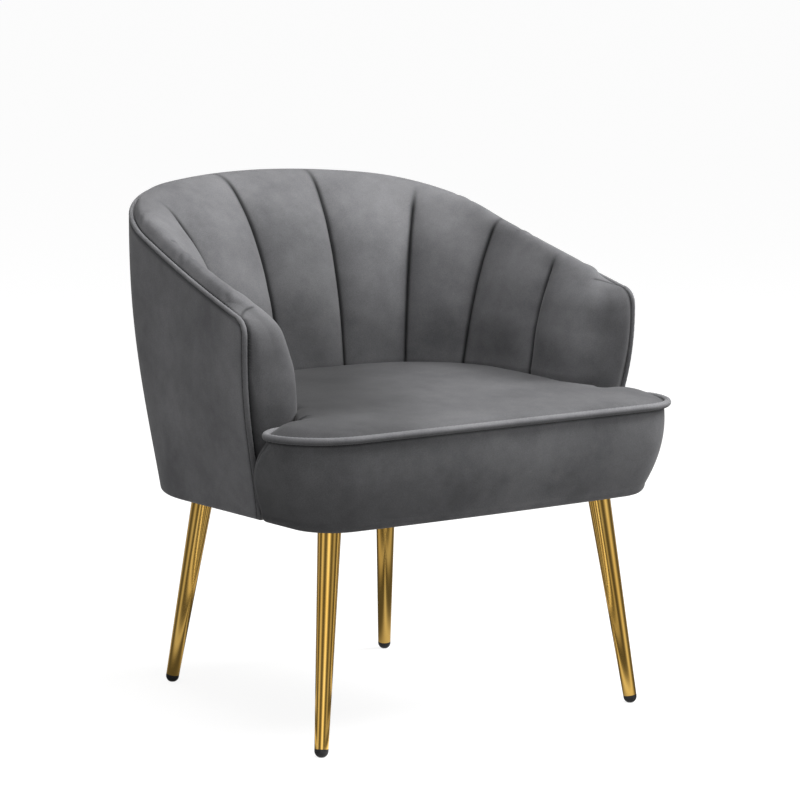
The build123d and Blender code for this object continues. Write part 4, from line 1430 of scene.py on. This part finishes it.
@dataclass
class SeatForm:
    """Plan of the seat in front of the arms at any height, and its crowned top."""

    form: TubForm
    # Plan of the front half at three heights
    heights: Triple = (0.316, 0.365, 0.4255)
    half_widths: Triple = (0.2944, 0.3127, 0.3219)
    fronts: Triple = (0.2895, 0.3046, 0.3116)
    corners: Triple = (0.0673, 0.0756, 0.0858)
    bows: Triple = (5.9, 4.8, 3.45)
    # Heights of the base, of the piping's seam and of the crown
    base_z: float = 0.303
    seam_z: float = 0.4300
    seam_arch: float = 0.0026
    crown_z: float = 0.4585
    # Wings in front of the arms, drawn in from a height upwards
    wing_corners: Pair = (0.017, 0.0524)
    tuck_x: float = 0.260
    arm_gap: float = 0.0042
    wing_gap: float = 0.0240
    wing_narrow: float = 0.0120
    wing_swell: float = 0.0020
    wing_middle: Pair = (0.285, -0.205)
    wing_spread: Pair = (0.030, 0.040)
    draw_z: float = 0.355
    draw_power: float = 2.2
    narrow_power: float = 1.4
    narrow_draw: int = 4
    least_corner: float = 0.003
    least_side: float = 0.002
    # Fall of the top to the front and out over the wings
    fall_y: float = 0.06
    fall_run: float = 0.377
    wing_x: float = 0.232
    wing_run: float = 0.100
    wing_power: float = 2.4
    edge_rise: float = 0.0045
    # Plan behind the arm fronts, under the channels
    rear: Plan = Plan(0.2345, -0.164, 0.151, 0.162, 1.5, math.radians(4.0))
    # Points of the stretches of the outline
    tuck_points: int = 13
    wing_points: int = 49
    side_points: int = 19
    corner_points: int = 33
    front_points: int = 37

    def plan(self, z: Array) -> Plan:
        """Return the front half's plan at a height, turned to +y: parabolas through three heights.

        Args:
            z: Heights.

        Returns:
            The plan, with one number for each height.
        """
        level = np.clip(z, self.heights[0], self.heights[-1])
        series = (self.half_widths, self.fronts, self.corners, self.bows)
        curves = (np.polyfit(self.heights, values, 2) for values in series)
        width, front, corner, bow = (np.polyval(curve, level) for curve in curves)
        return Plan(width, 0.0, front, corner, bow)

    def seam(self, x: Array) -> Array:
        """Return the height of the piping's seam over x: it arches a little in the middle."""
        return self.seam_z + self.seam_arch * (1 - (x / self.half_widths[-1]) ** 2)

    def outline(self, z: Array, inset: Array) -> Array:
        """Return the seat's edge from the right wing's tuck round the front to the left wing's.

        Each half runs along the wing's back, round its small corner, forward along the side, round the front
        corner and along the bowed front.

        Args:
            z: Heights, one for each row, as a column.
            inset: How far inside the outline each row lies, as a column.

        Returns:
            A grid of points.
        """
        plan = self.plan(z)
        half_width = plan.half_width - inset
        drawn = np.clip((z - self.draw_z) / (self.seam_z - self.draw_z), 0.0, 1.0) ** self.draw_power
        gap = mix(self.arm_gap, self.wing_gap, drawn)
        back_y = self.form.arm_front(np.minimum(z, self.seam_z)) - gap - inset
        centre_x, centre_y, first, last = plan.arcs()
        depth = back_y + centre_y
        small = np.maximum(mix(*self.wing_corners, drawn) - inset, self.least_corner)
        small = np.minimum(small, depth - self.least_side)
        narrow = self.wing_narrow * drawn**self.narrow_draw
        run = np.linspace(0.0, 1.0, self.tuck_points)[None, :]
        tuck_x = mix(self.tuck_x, half_width - small - narrow, run)
        tuck_y = np.broadcast_to(back_y, tuck_x.shape)
        turn = np.linspace(np.pi / 2, 0.0, self.wing_points)[None, 1:]
        wing_y = back_y - small + small * np.sin(turn)
        wing_x = half_width - small + small * np.cos(turn)
        wing_x = wing_x - narrow * ((wing_y + centre_y) / depth) ** self.narrow_power
        run = np.linspace(0.0, 1.0, self.side_points)[None, 1:]
        side_y = mix(back_y - small, -centre_y, run)
        side_x = half_width - narrow * np.clip((side_y + centre_y) / depth, 0.0, 1.0) ** self.narrow_power
        turn = mix(last, first, np.linspace(0.0, 1.0, self.corner_points)[None, 1:])
        corner = plan.corner - inset
        corner_x = centre_x + corner * np.sin(turn)
        corner_y = -(centre_y + corner * np.cos(turn))
        turn = first * np.linspace(1.0, 0.0, self.front_points)[None, 1:]
        bow = plan.bow - inset
        front_x = bow * np.sin(turn)
        front_y = -(plan.end - plan.bow + bow * np.cos(turn))
        x = np.concatenate([tuck_x, wing_x, side_x, corner_x, front_x], axis=1)
        y = np.concatenate([tuck_y, wing_y, side_y, corner_y, front_y], axis=1)
        x = np.concatenate([-x, x[:, -2::-1]], axis=1)
        y = np.concatenate([y, y[:, -2::-1]], axis=1)
        return np.stack([x, y, np.broadcast_to(z, x.shape)], axis=-1)

    def dome(self, x: Array, y: Array) -> Array:
        """Return the height of the seat's top.

        It falls away in power curves to the front and out over the wings, which swell by a bell.

        Args:
            x: x of each point.
            y: y of each point.

        Returns:
            z of each point.
        """
        forward = np.clip((self.fall_y - y) / self.fall_run, 0.0, 1.0) ** 2
        outward = np.clip((np.abs(x) - self.wing_x) / self.wing_run, 0.0, 1.0) ** self.wing_power
        low = self.seam(x) + self.edge_rise
        across, along = np.abs(x) - self.wing_middle[0], y - self.wing_middle[1]
        wing = bell(across, self.wing_spread[0]) * bell(along, self.wing_spread[1])
        return low + (self.crown_z - low) * (1 - forward) * (1 - outward) + self.wing_swell * wing


@dataclass
class SeatTop:
    """Crowned top of the seat, T-shaped, sewn to its piping in front and tucked in under the channels."""

    seat: SeatForm
    # Edge, the roll down to it and where it is tucked in
    middle: Pair = (0.0, -0.232)
    edge_inset: float = -0.0020
    shoulder: float = 0.034
    rear_shoulder: float = 0.020
    rear_share: float = 0.955
    under: float = 0.010
    under_drop: float = 0.008
    seam_drop: float = 0.001
    tuck_drop: float = 0.007
    roll_power: float = 2.4
    behind_y: Span = (-0.20, -0.16)
    inside_x: Span = (-0.290, -0.262)
    inside_y: Span = (-0.21, -0.17)
    # Painted shade along the seam, and the pile's lie and painted shade over the top
    stitch_width: float = 0.0035
    darkest_shade: float = -0.76
    lightest_shade: float = -0.26
    front_shade: float = -0.48
    shade_slant: float = 0.7
    shade_span: Span = (-0.10, 0.14)
    front_span: Span = (0.16, 0.23)
    # Grid
    ring_power: float = 1.6
    ring_reach: float = 0.9995
    rear_points: int = 181
    rings: int = 72

    def edge(self, inset: float) -> Array:
        """Return the T-shaped edge, or a line inside it, closed, as (x, y).

        Args:
            inset: How far inside the edge the line runs.

        Returns:
            Points of the line, one row each.
        """
        z = np.array([[self.seat.seam_z]])
        front = self.seat.outline(z, np.array([[self.edge_inset + inset]]))[0, :, :2]
        share = np.linspace(self.rear_share, -self.rear_share, self.rear_points)
        x, y, _, _ = self.seat.rear.point(share, inset)
        return np.concatenate([front, np.stack([x, y], axis=1)])

    def points(self) -> tuple[Array, Array]:
        """Return the top's grid, rings from the edge to a middle point, and the painted shade along its seam.

        Near the edge the top rolls down to the seam along a power curve; elsewhere it follows the dome.

        Returns:
            The grid, and the painted shade at each of its points.
        """
        edge = self.edge(0.0)
        heart = np.array(self.middle)
        steps = np.linspace(0.0, 1.0, self.rings)
        share = (1.0 - steps**self.ring_power * self.ring_reach)[:, None, None]
        flat = heart + (edge - heart) * share
        reach = gap_to(flat, edge[::2])
        x, y = flat[..., 0], flat[..., 1]
        tucked = self._tucked(edge)
        shoulder = mix(self.shoulder, self.rear_shoulder, tucked)
        roll = 1 - (1 - np.clip(reach / shoulder, 0.0, 1.0)) ** self.roll_power
        top = self.seat.dome(x, y)
        low = mix(self.seat.seam(x) - self.seam_drop, top - self.tuck_drop, tucked)
        z = low + (top - low) * roll
        under_z = np.full((len(edge), 1), self.seat.seam_z - self.under_drop)
        under = np.concatenate([self.edge(self.under), under_z], axis=1)
        points = np.concatenate([under[None], np.stack([x, y, z], axis=-1)])
        inward = np.linalg.norm(flat - edge, axis=2)
        return points, np.concatenate([np.ones((1, len(edge))), bell(inward, self.stitch_width)])

    def _tucked(self, edge: Array) -> Array:
        """Return 1 where the edge is tucked in under the channels or between the arms, 0 along its piping.

        Args:
            edge: Points of the edge.

        Returns:
            A row with a number for each point.
        """
        edge_x, edge_y = np.abs(edge[None, :, 0]), edge[None, :, 1]
        behind = smooth_step(*self.behind_y, edge_y)
        inside = smooth_step(*self.inside_x, -edge_x) * smooth_step(*self.inside_y, edge_y)
        return np.maximum(behind, inside)

    def nap_and_shade(self, points: Array) -> Array:
        """Return the pile's lie and painted shade: darker towards the sitter's right and behind, lighter in
        front.

        Args:
            points: The top's grid.

        Returns:
            The nap of each point.
        """
        x, y = points[..., 0], points[..., 1]
        # Painted shade: darkest at the rear, by the sitter's right arm.
        lie_and_shade = mix(self.darkest_shade, self.lightest_shade, smooth_step(*self.shade_span, x - self.shade_slant * y))
        return mix(lie_and_shade, np.maximum(lie_and_shade, self.front_shade), smooth_step(*self.front_span, -y))

    def build(self, velvet: bpy.types.Material) -> None:
        """Make the seat's top.

        Args:
            velvet: The top's material.
        """
        points, painted_seam_shade = self.points()
        top = Piece("seat_cushion_top", points, closed=True, painted_seam_shade=painted_seam_shade, nap_and_shade=self.nap_and_shade(points))
        top.place(velvet, Slot.VELVET, "seat_top", "seat_foam")


@dataclass
class SeatBoxing:
    """Side of the seat: drawn in towards its foot, gathered a little under the piping at the wings."""

    seat: SeatForm
    # Edges and the bulge between them
    fold_radius: float = 0.013
    turn_under: float = 0.034
    under_gap: float = 0.0005
    seam_drop: float = 0.001
    fullness: float = 0.0015
    # Gathers: their height, their place along the edge and how deep they reach
    gather: float = 0.0036
    gather_place: float = 0.062
    gather_spread: float = 0.032
    gather_length: float = 0.0016
    gather_start: float = 0.003
    gather_depth: float = 0.016
    # Painted shadow under the piping, and nap and painted shade over the side
    heart_y: float = -0.15
    # Marks of the stitches and of the pile
    stitch_shade: float = 0.75
    stitch_drop: Span = (0.0055, 0.0100)
    shade_x: Span = (-0.30, 0.05)
    shade_z: Span = (0.32, 0.42)
    right_shade: float = -0.45
    left_shade: float = -0.20
    foot_shade: float = -0.12
    top_light: float = 0.08
    # Grid
    rows: int = 40
    fold_rows: int = 8

    def points(self) -> Array:
        """Return the boxing's grid, from under the base up to the seam.

        The face bulges by a half sine over its height and a quarter circle folds its foot under. The gathers
        are a sine along the edge that dies out below the seam and away from the wings.

        Returns:
            A grid of points.
        """
        base = self.seat.base_z
        climb = np.linspace(0.0, 1.0, self.rows)[:, None]
        z = mix(base + self.fold_radius, self.seat.seam_z - self.seam_drop, climb)
        face = self.seat.outline(z, -self.fullness * np.sin(np.pi * climb))
        face[..., 2] += (self.seat.seam(face[..., 0]) - self.seat.seam_z) * climb
        angle = np.linspace(0.0, np.pi / 2, self.fold_rows + 1)[1:, None]
        fold_z = base + self.fold_radius * (1 - np.sin(angle))
        fold = self.seat.outline(fold_z, self.fold_radius * (1 - np.cos(angle)))
        under = self.seat.outline(np.array([[base + self.under_gap]]), np.array([[self.turn_under]]))
        points = np.concatenate([under, fold[::-1], face])
        return points + self._gathers(points, z)

    def _gathers(self, points: Array, z: Array) -> Array:
        """Return the shifts that gather the cloth under the piping at the wings.

        Args:
            points: The boxing's grid.
            z: Heights of the face's rows, as a column.

        Returns:
            A shift for each point.
        """
        # The fold's rows count as a metre below the seam, where nothing gathers
        hidden = np.ones(len(points) - len(z))
        drop = np.concatenate([hidden, self.seat.seam_z - z[:, 0]])[:, None]
        walked = lengths_along(points[-1])[None, :]
        from_end = np.minimum(walked, walked[:, -1:] - walked)
        wing = bell(from_end - self.gather_place, self.gather_spread)
        fade = np.exp(-drop / self.gather_depth) * (1 - np.exp(-drop / self.gather_start))
        wave = np.sin(from_end / self.gather_length) * fade
        out = unit(points * (1, 1, 0) - np.array([0.0, self.heart_y, 0.0]))
        return out * (self.gather * wing * wave)[..., None] * (1, 1, 0)

    def nap_and_shade(self, points: Array) -> Array:
        """Return the nap and painted shade: darker towards the sitter's right and towards the foot."""
        along = mix(self.right_shade, self.left_shade, smooth_step(*self.shade_x, points[..., 0]))
        return along + mix(self.foot_shade, self.top_light, smooth_step(*self.shade_z, points[..., 2]))

    def build(self, velvet: bpy.types.Material) -> None:
        """Make the boxing with a cloth's thickness.

        Args:
            velvet: The boxing's material.
        """
        points = self.points()
        drop = self.seat.seam(points[..., 0]) - points[..., 2]
        # Painted shadow: a dark band just under the piping.
        painted_seam_shade = self.stitch_shade * (1 - smooth_step(*self.stitch_drop, drop))
        piece = Piece("seat_side_panel", points, painted_seam_shade=painted_seam_shade, nap_and_shade=self.nap_and_shade(points))
        boxing = piece.place(velvet, Slot.VELVET, "seat_boxing")
        give_wall(boxing)


@dataclass
class Piping:
    """Velvet-covered piping along the tub's edge and round the top of the seat."""

    form: TubForm
    seat: SeatForm
    seat_radius: float = 0.005
    tub_heart: Triple = (0.0, 0.05, 0.5)
    seat_heart: Triple = (0.0, -0.2, 0.427)
    ripple: float = 0.03
    tub_pace: float = 1.9
    seat_pace: float = 1.7
    shade_span: Span = (-0.7, 0.7)
    under_shade: float = -0.50
    top_light: float = 0.26
    tub_points: int = 620
    seat_points: int = 520

    def tube(self, name: str, path: Array, radius: float, pace: float, heart: tuple[float, ...]) -> Piece:
        """Work out one run of piping: a circle of slightly uneven size carried along a path.

        Painted light on top of the piping and painted shade below it.

        Args:
            name: Name of the piece.
            path: The middle line of the piping.
            radius: Radius of the piping.
            pace: How far the ripple's sine goes on from one point to the next.
            heart: A point that the path goes round.

        Returns:
            The closed piece.
        """
        uneven = radius * (1 + self.ripple * np.sin(np.arange(len(path)) * pace))
        points = tube_along(path, uneven, np.array(heart))
        lift = (points[..., 2] - path[:, None, 2]) / radius
        # Painted light and shade: lighter on top, darker underneath.
        nap_and_shade = mix(self.under_shade, self.top_light, smooth_step(*self.shade_span, lift))
        return Piece(name, points, closed=True, nap_and_shade=nap_and_shade)

    def build(self, velvet: bpy.types.Material) -> None:
        """Make both runs of piping along the edges that they trim.

        Args:
            velvet: The piping's material.
        """
        tub_path = self.form.welt_path(self.tub_points)
        tub = self.tube("tub_piping", tub_path, self.form.welt_radius, self.tub_pace, self.tub_heart)
        tub.place(velvet, Slot.PIPING, "tub_welt")
        edge = self.seat.outline(np.array([[self.seat.seam_z]]), np.array([[-self.seat_radius]]))[0]
        edge[:, 2] = self.seat.seam(edge[:, 0])
        seat_path = evenly(edge, self.seat_points)
        seat = self.tube("seat_piping", seat_path, self.seat_radius, self.seat_pace, self.seat_heart)
        seat.place(velvet, Slot.PIPING, "seat_welt")


@dataclass
class DustCloth:
    """Black cloth stapled under the seat, sagging a little between its edges."""

    form: TubForm
    seat: SeatForm
    inset: float = 0.012
    z: float = 0.3062
    sag: float = 0.002
    reach: float = 0.998
    edge_points: int = 161
    rings: int = 24

    def edge(self) -> Array:
        """Return the cloth's edge, closed, as (x, y): the tub's foot behind, the seat's foot in front.

        Returns:
            Points of the edge, one row each.
        """
        share = np.linspace(-1.0, 1.0, self.edge_points)
        x, y, _, _ = self.form.foot.point(share, self.inset)
        rear = np.stack([x, y], axis=1)[y > 0]
        plan = self.seat.plan(np.array(self.seat.heights[0]))
        x, y, _, _ = plan.point(share, self.inset + plan.half_width - self.form.foot.half_width)
        front = np.stack([-x, -y], axis=1)
        return np.concatenate([rear, front[1:-1]])

    def build(self, cloth: bpy.types.Material) -> None:
        """Make the cloth: rings that shrink to the middle, with a parabola's sag.

        Args:
            cloth: The cloth's material.
        """
        edge = self.edge()
        share = (1.0 - np.linspace(0.0, 1.0, self.rings) * self.reach)[:, None, None]
        flat = edge * share
        z = self.z - self.sag * (1 - share**2)
        points = np.concatenate([flat, np.broadcast_to(z, flat.shape[:2] + (1,))], axis=-1)
        made = Piece("dust_cloth", points, wrap=True, pole=True).place(cloth, Slot.DUST_CLOTH, "dust_cover")


@dataclass
class HardParts:
    """CAD nodes that keep their own shape and get a better finish."""

    frame: dict
    gold: PlainFinish = PlainFinish(
        "polished_gold",
        deep=(0.80, 0.47, 0.10),
        light=(0.88, 0.56, 0.15),
        metallic=1.0,
        roughness=0.13,
        roughness_spread=0.05,
        grain=(30.0, 30.0, 6.0),
        relief=0.00002,
    )
    nylon: PlainFinish = PlainFinish(
        "black_nylon",
        deep=(0.010, 0.010, 0.011),
        light=(0.018, 0.018, 0.019),
        roughness=0.42,
        roughness_spread=0.12,
        grain=(300.0, 300.0, 300.0),
        relief=0.0001,
    )
    plate: PlainFinish = PlainFinish(
        "black_plate",
        deep=(0.02, 0.02, 0.02),
        light=(0.035, 0.035, 0.035),
        metallic=0.6,
        roughness=0.5,
        roughness_spread=0.15,
        grain=(120.0, 120.0, 120.0),
        relief=0.0001,
    )
    zinc: PlainFinish = PlainFinish(
        "zinc",
        deep=(0.50, 0.51, 0.53),
        light=(0.62, 0.63, 0.65),
        metallic=1.0,
        roughness=0.35,
        roughness_spread=0.15,
        grain=(200.0, 200.0, 200.0),
        relief=0.0001,
    )
    wire: PlainFinish = PlainFinish(
        "spring_wire",
        deep=(0.22, 0.22, 0.23),
        light=(0.32, 0.32, 0.33),
        metallic=1.0,
        roughness=0.45,
        roughness_spread=0.15,
        grain=(150.0, 150.0, 150.0),
        relief=0.0001,
    )
    plywood: PlainFinish = PlainFinish(
        "plywood",
        deep=(0.50, 0.36, 0.21),
        light=(0.68, 0.53, 0.35),
        roughness=0.7,
        grain=(14.0, 160.0, 160.0),
    )
    board: PlainFinish = PlainFinish(
        "fibreboard",
        deep=(0.34, 0.24, 0.15),
        light=(0.45, 0.33, 0.22),
        roughness=0.8,
        grain=(220.0, 220.0, 220.0),
    )
    felt: PlainFinish = PlainFinish(
        "felt",
        deep=(0.24, 0.23, 0.22),
        light=(0.38, 0.37, 0.35),
        roughness=0.95,
        roughness_spread=0.05,
        grain=(400.0, 400.0, 400.0),
        relief=0.0006,
    )

    def build(self) -> None:
        """Give each shown CAD node the finish of its slot."""
        finishes = {
            Slot.LEG: self.gold,
            Slot.FOOT: self.nylon,
            Slot.PLATE: self.plate,
            Slot.SCREW: self.zinc,
            Slot.SPRING: self.wire,
            Slot.TIMBER: self.plywood,
            Slot.BOARD: self.board,
            Slot.FELT: self.felt,
        }
        made = {slot.value: finish.material() for slot, finish in finishes.items()}
        for row in self.frame["record"]["subparts"]:
            node = self.frame["nodes"][row["node"]]
            if row["material_slot"] in made and not node.hide_render:
                node.data.materials.clear()
                node.data.materials.append(made[row["material_slot"]])
                LOG.info("%s wears %s", row["node"], row["material_slot"])


@dataclass(frozen=True)
class Lamp:
    """A square soft light: its name, place, side in metres and power in watts."""

    name: str
    place: Triple
    size: float
    watts: float


@dataclass
class Studio:
    """Pale floor, soft lights and the photograph's camera."""

    # Camera, in metres, radians, and pixels or millimetres of the picture
    eye: Triple = (-2.687, -3.760, 1.095)
    yaw: float = math.radians(35.98)
    tilt: float = math.radians(8.23)
    focal_pixels: float = 3302.0
    picture_pixels: float = 800.0
    sensor: float = 36.0
    sight: float = 200.0
    # Lights, floor and room
    lamps: tuple[Lamp, ...] = (
        Lamp("key", (2.1, -0.9, 2.7), 1.6, 118.0),
        Lamp("fill", (-2.0, -2.9, 1.9), 1.8, 7.0),
        Lamp("top", (-0.2, -1.1, 3.0), 1.8, 50.0),
    )
    lamp_aim: Triple = (0.0, 0.0, 0.45)
    room_glow: float = 0.3
    floor_half: float = 60.0
    floor_shade: float = 0.6
    floor_glow: float = 1.70
    floor_white: float = 0.52
    # Screen for the legs: its size, its dim level and its stripes, as angle, width and glow
    screen_radius: float = 0.62
    screen_hole: float = 0.02
    screen_gap: float = 0.0015
    screen_top: float = 0.7
    screen_columns: int = 241
    screen_level: float = 0.10
    screen_stripes: tuple[Triple, ...] = (
        (-160.0, 12.0, 0.45),
        (-112.0, 10.0, 0.50),
        (-72.0, 8.0, 0.80),
        (-40.0, 7.0, 1.30),
        (-8.0, 9.0, 0.45),
        (36.0, 10.0, 0.75),
        (82.0, 12.0, 0.45),
        (135.0, 12.0, 0.55),
    )

    def camera(self) -> None:
        """Place the camera where the photograph was taken from."""
        data = bpy.data.cameras.new("camera")
        data.sensor_width = self.sensor
        data.lens = self.focal_pixels / self.picture_pixels * self.sensor
        data.clip_end = self.sight
        level = math.cos(self.tilt)
        forward = Vector((math.sin(self.yaw) * level, math.cos(self.yaw) * level, -math.sin(self.tilt)))
        bpy.context.scene.camera = self._stand("camera", data, self.eye, forward)

    def lamp(self, lamp: Lamp) -> None:
        """Add a soft light that faces the chair.

        Args:
            lamp: The light to add.
        """
        data = bpy.data.lights.new(lamp.name, "AREA")
        data.shape = "SQUARE"
        data.size = lamp.size
        data.energy = lamp.watts
        self._stand(lamp.name, data, lamp.place, Vector(self.lamp_aim) - Vector(lamp.place))

    def world(self) -> None:
        """Light the room evenly and show white behind the chair to the camera and in reflections."""
        world = bpy.data.worlds.new("studio")
        world.use_nodes = True
        bpy.context.scene.world = world
        tree = world.node_tree
        glow = next(node for node in tree.nodes if node.type == "BACKGROUND")
        white = tree.nodes.new("ShaderNodeBackground")
        for node, strength in ((glow, self.room_glow), (white, 1.0)):
            node.inputs["Color"].default_value = WHITE
            node.inputs["Strength"].default_value = strength
        out = next(node for node in tree.nodes if node.type == "OUTPUT_WORLD")
        self._blend(out, self._seen(tree), glow, white)

    def floor(self) -> None:
        """Lay a pale floor that keeps the chair's shadow and meets the white behind it."""
        corner = np.array([-self.floor_half, self.floor_half])
        x, y = np.meshgrid(corner, corner)
        floor = Piece("floor", np.stack([x, y, np.zeros_like(x)], axis=-1)).mesh()
        finish, out = self._bare("pale_floor")
        tree = finish.node_tree
        matt = tree.nodes.new("ShaderNodeBsdfDiffuse")
        matt.inputs["Color"].default_value = (*grey(self.floor_shade), 1.0)
        white = tree.nodes.new("ShaderNodeEmission")
        white.inputs["Color"].default_value = WHITE
        white.inputs["Strength"].default_value = self.floor_glow
        share = tree.nodes.new("ShaderNodeMath")
        share.operation = "MULTIPLY"
        share.inputs[1].default_value = self.floor_white
        tree.links.new(self._seen(tree), share.inputs[0])
        self._blend(out, share.outputs[0], matt, white)
        floor.data.materials.append(finish)

    def screen(self) -> None:
        """Stand a low round screen with a floor about the chair, that only its polished legs mirror.

        Its glow round the chair is a dim level with a few bright bells, which give the tubes their stripes.
        The mark that carries the velvet's nap and painted shade holds that glow here.
        """
        finish, out = self._bare("striped_screen")
        tree = finish.node_tree
        level = tree.nodes.new("ShaderNodeAttribute")
        level.attribute_name = "nap_and_shade"
        glow = tree.nodes.new("ShaderNodeEmission")
        tree.links.new(level.outputs["Fac"], glow.inputs["Strength"])
        tree.links.new(glow.outputs[0], out.inputs["Surface"])
        angle = np.linspace(-180.0, 180.0, self.screen_columns)[None, :]
        bells = [peak * bell(angle - at, width) for at, width, peak in self.screen_stripes]
        turn = np.radians(angle)
        reach = self.screen_radius * np.array([[self.screen_hole], [1.0], [1.0]])
        z = np.array([[self.screen_gap], [self.screen_gap], [self.screen_top]])
        points = np.stack(np.broadcast_arrays(reach * np.sin(turn), -reach * np.cos(turn), z), axis=-1)
        strength = np.broadcast_to(self.screen_level + sum(bells), points.shape[:2])
        screen = Piece("leg_screen", points, nap_and_shade=strength).mesh()
        screen.data.materials.append(finish)
        screen.visible_camera = False
        screen.visible_diffuse = False
        screen.visible_shadow = False
        screen.visible_transmission = False

    def _stand(self, name: str, data: bpy.types.ID, place: Triple, facing: Vector) -> bpy.types.Object:
        """Return a new camera or lamp in its place, turned the way that it faces.

        Args:
            name: Name of the object.
            data: The camera's or the lamp's data.
            place: Where it stands.
            facing: The way that it faces.

        Returns:
            The object.
        """
        made = bpy.data.objects.new(name, data)
        made.location = place
        made.rotation_mode = "QUATERNION"
        made.rotation_quaternion = facing.to_track_quat("-Z", "Y")
        bpy.context.scene.collection.objects.link(made)
        return made

    def _bare(self, name: str) -> tuple[bpy.types.Material, bpy.types.Node]:
        """Return a new material that has nothing but its output, and that output.

        Args:
            name: Name of the material.

        Returns:
            The material and its output.
        """
        finish = bpy.data.materials.new(name)
        finish.use_nodes = True
        finish.node_tree.nodes.clear()
        return finish, finish.node_tree.nodes.new("ShaderNodeOutputMaterial")

    def _seen(self, tree: bpy.types.NodeTree) -> bpy.types.NodeSocket:
        """Return 1 for rays from the camera, off glossy things and through clear ones, and 0 for others.

        Args:
            tree: The tree that gets the nodes.

        Returns:
            The socket that says so.
        """
        rays = tree.nodes.new("ShaderNodeLightPath")
        seen = rays.outputs["Is Camera Ray"]
        for kind in ("Is Glossy Ray", "Is Transmission Ray"):
            either = tree.nodes.new("ShaderNodeMath")
            either.operation = "MAXIMUM"
            tree.links.new(seen, either.inputs[0])
            tree.links.new(rays.outputs[kind], either.inputs[1])
            seen = either.outputs[0]
        return seen

    def _blend(
        self, out: bpy.types.Node, share: bpy.types.NodeSocket, first: bpy.types.Node, second: bpy.types.Node
    ) -> None:
        """Give an output the first shader where a share is 0 and the second one where it is 1.

        Args:
            out: The output node.
            share: The share's socket.
            first: One shader.
            second: The other shader.
        """
        tree = out.id_data
        blend = tree.nodes.new("ShaderNodeMixShader")
        tree.links.new(share, blend.inputs["Fac"])
        tree.links.new(first.outputs[0], blend.inputs[1])
        tree.links.new(second.outputs[0], blend.inputs[2])
        tree.links.new(blend.outputs[0], out.inputs["Surface"])

    def build(self) -> None:
        """Set up the whole studio."""
        self.camera()
        self.world()
        self.floor()
        self.screen()
        for lamp in self.lamps:
            self.lamp(lamp)
        bpy.context.scene.view_settings.view_transform = "Standard"


@dataclass
class Upholstery:
    """All the velvet pieces of the chair."""

    form: TubForm = field(default_factory=TubForm)
    velvet: Velvet = Velvet("grey_velvet", deep=(0.122, 0.122, 0.128), light=(0.192, 0.192, 0.199))
    # The piping's velvet has a lighter deep tone than the rest: painted light on the piping.
    piping: Velvet = Velvet(
        "grey_velvet_piping", deep=(0.132, 0.132, 0.138), light=(0.188, 0.188, 0.195), sheen=0.15
    )
    cloth: PlainFinish = PlainFinish(
        "dust_cloth",
        deep=(0.012, 0.012, 0.012),
        light=(0.025, 0.025, 0.025),
        roughness=0.95,
        roughness_spread=0.04,
        grain=(700.0, 700.0, 700.0),
    )

    def build(self) -> None:
        """Build each piece in turn."""
        velvet = self.velvet.material()
        OuterShell(self.form).build(velvet)
        ChannelledBack(self.form).build(velvet)
        seat = SeatForm(self.form)
        SeatTop(seat).build(velvet)
        SeatBoxing(seat).build(velvet)
        Piping(self.form, seat).build(self.piping.material())
        DustCloth(self.form, seat).build(self.cloth.material())


def main() -> None:
    """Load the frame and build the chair's looks round it."""
    logging.basicConfig(level=logging.INFO, format="%(name)s: %(message)s")
    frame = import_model()
    Upholstery().build()
    HardParts(frame).build()
    Studio().build()


if __name__ == "__main__":
    main()
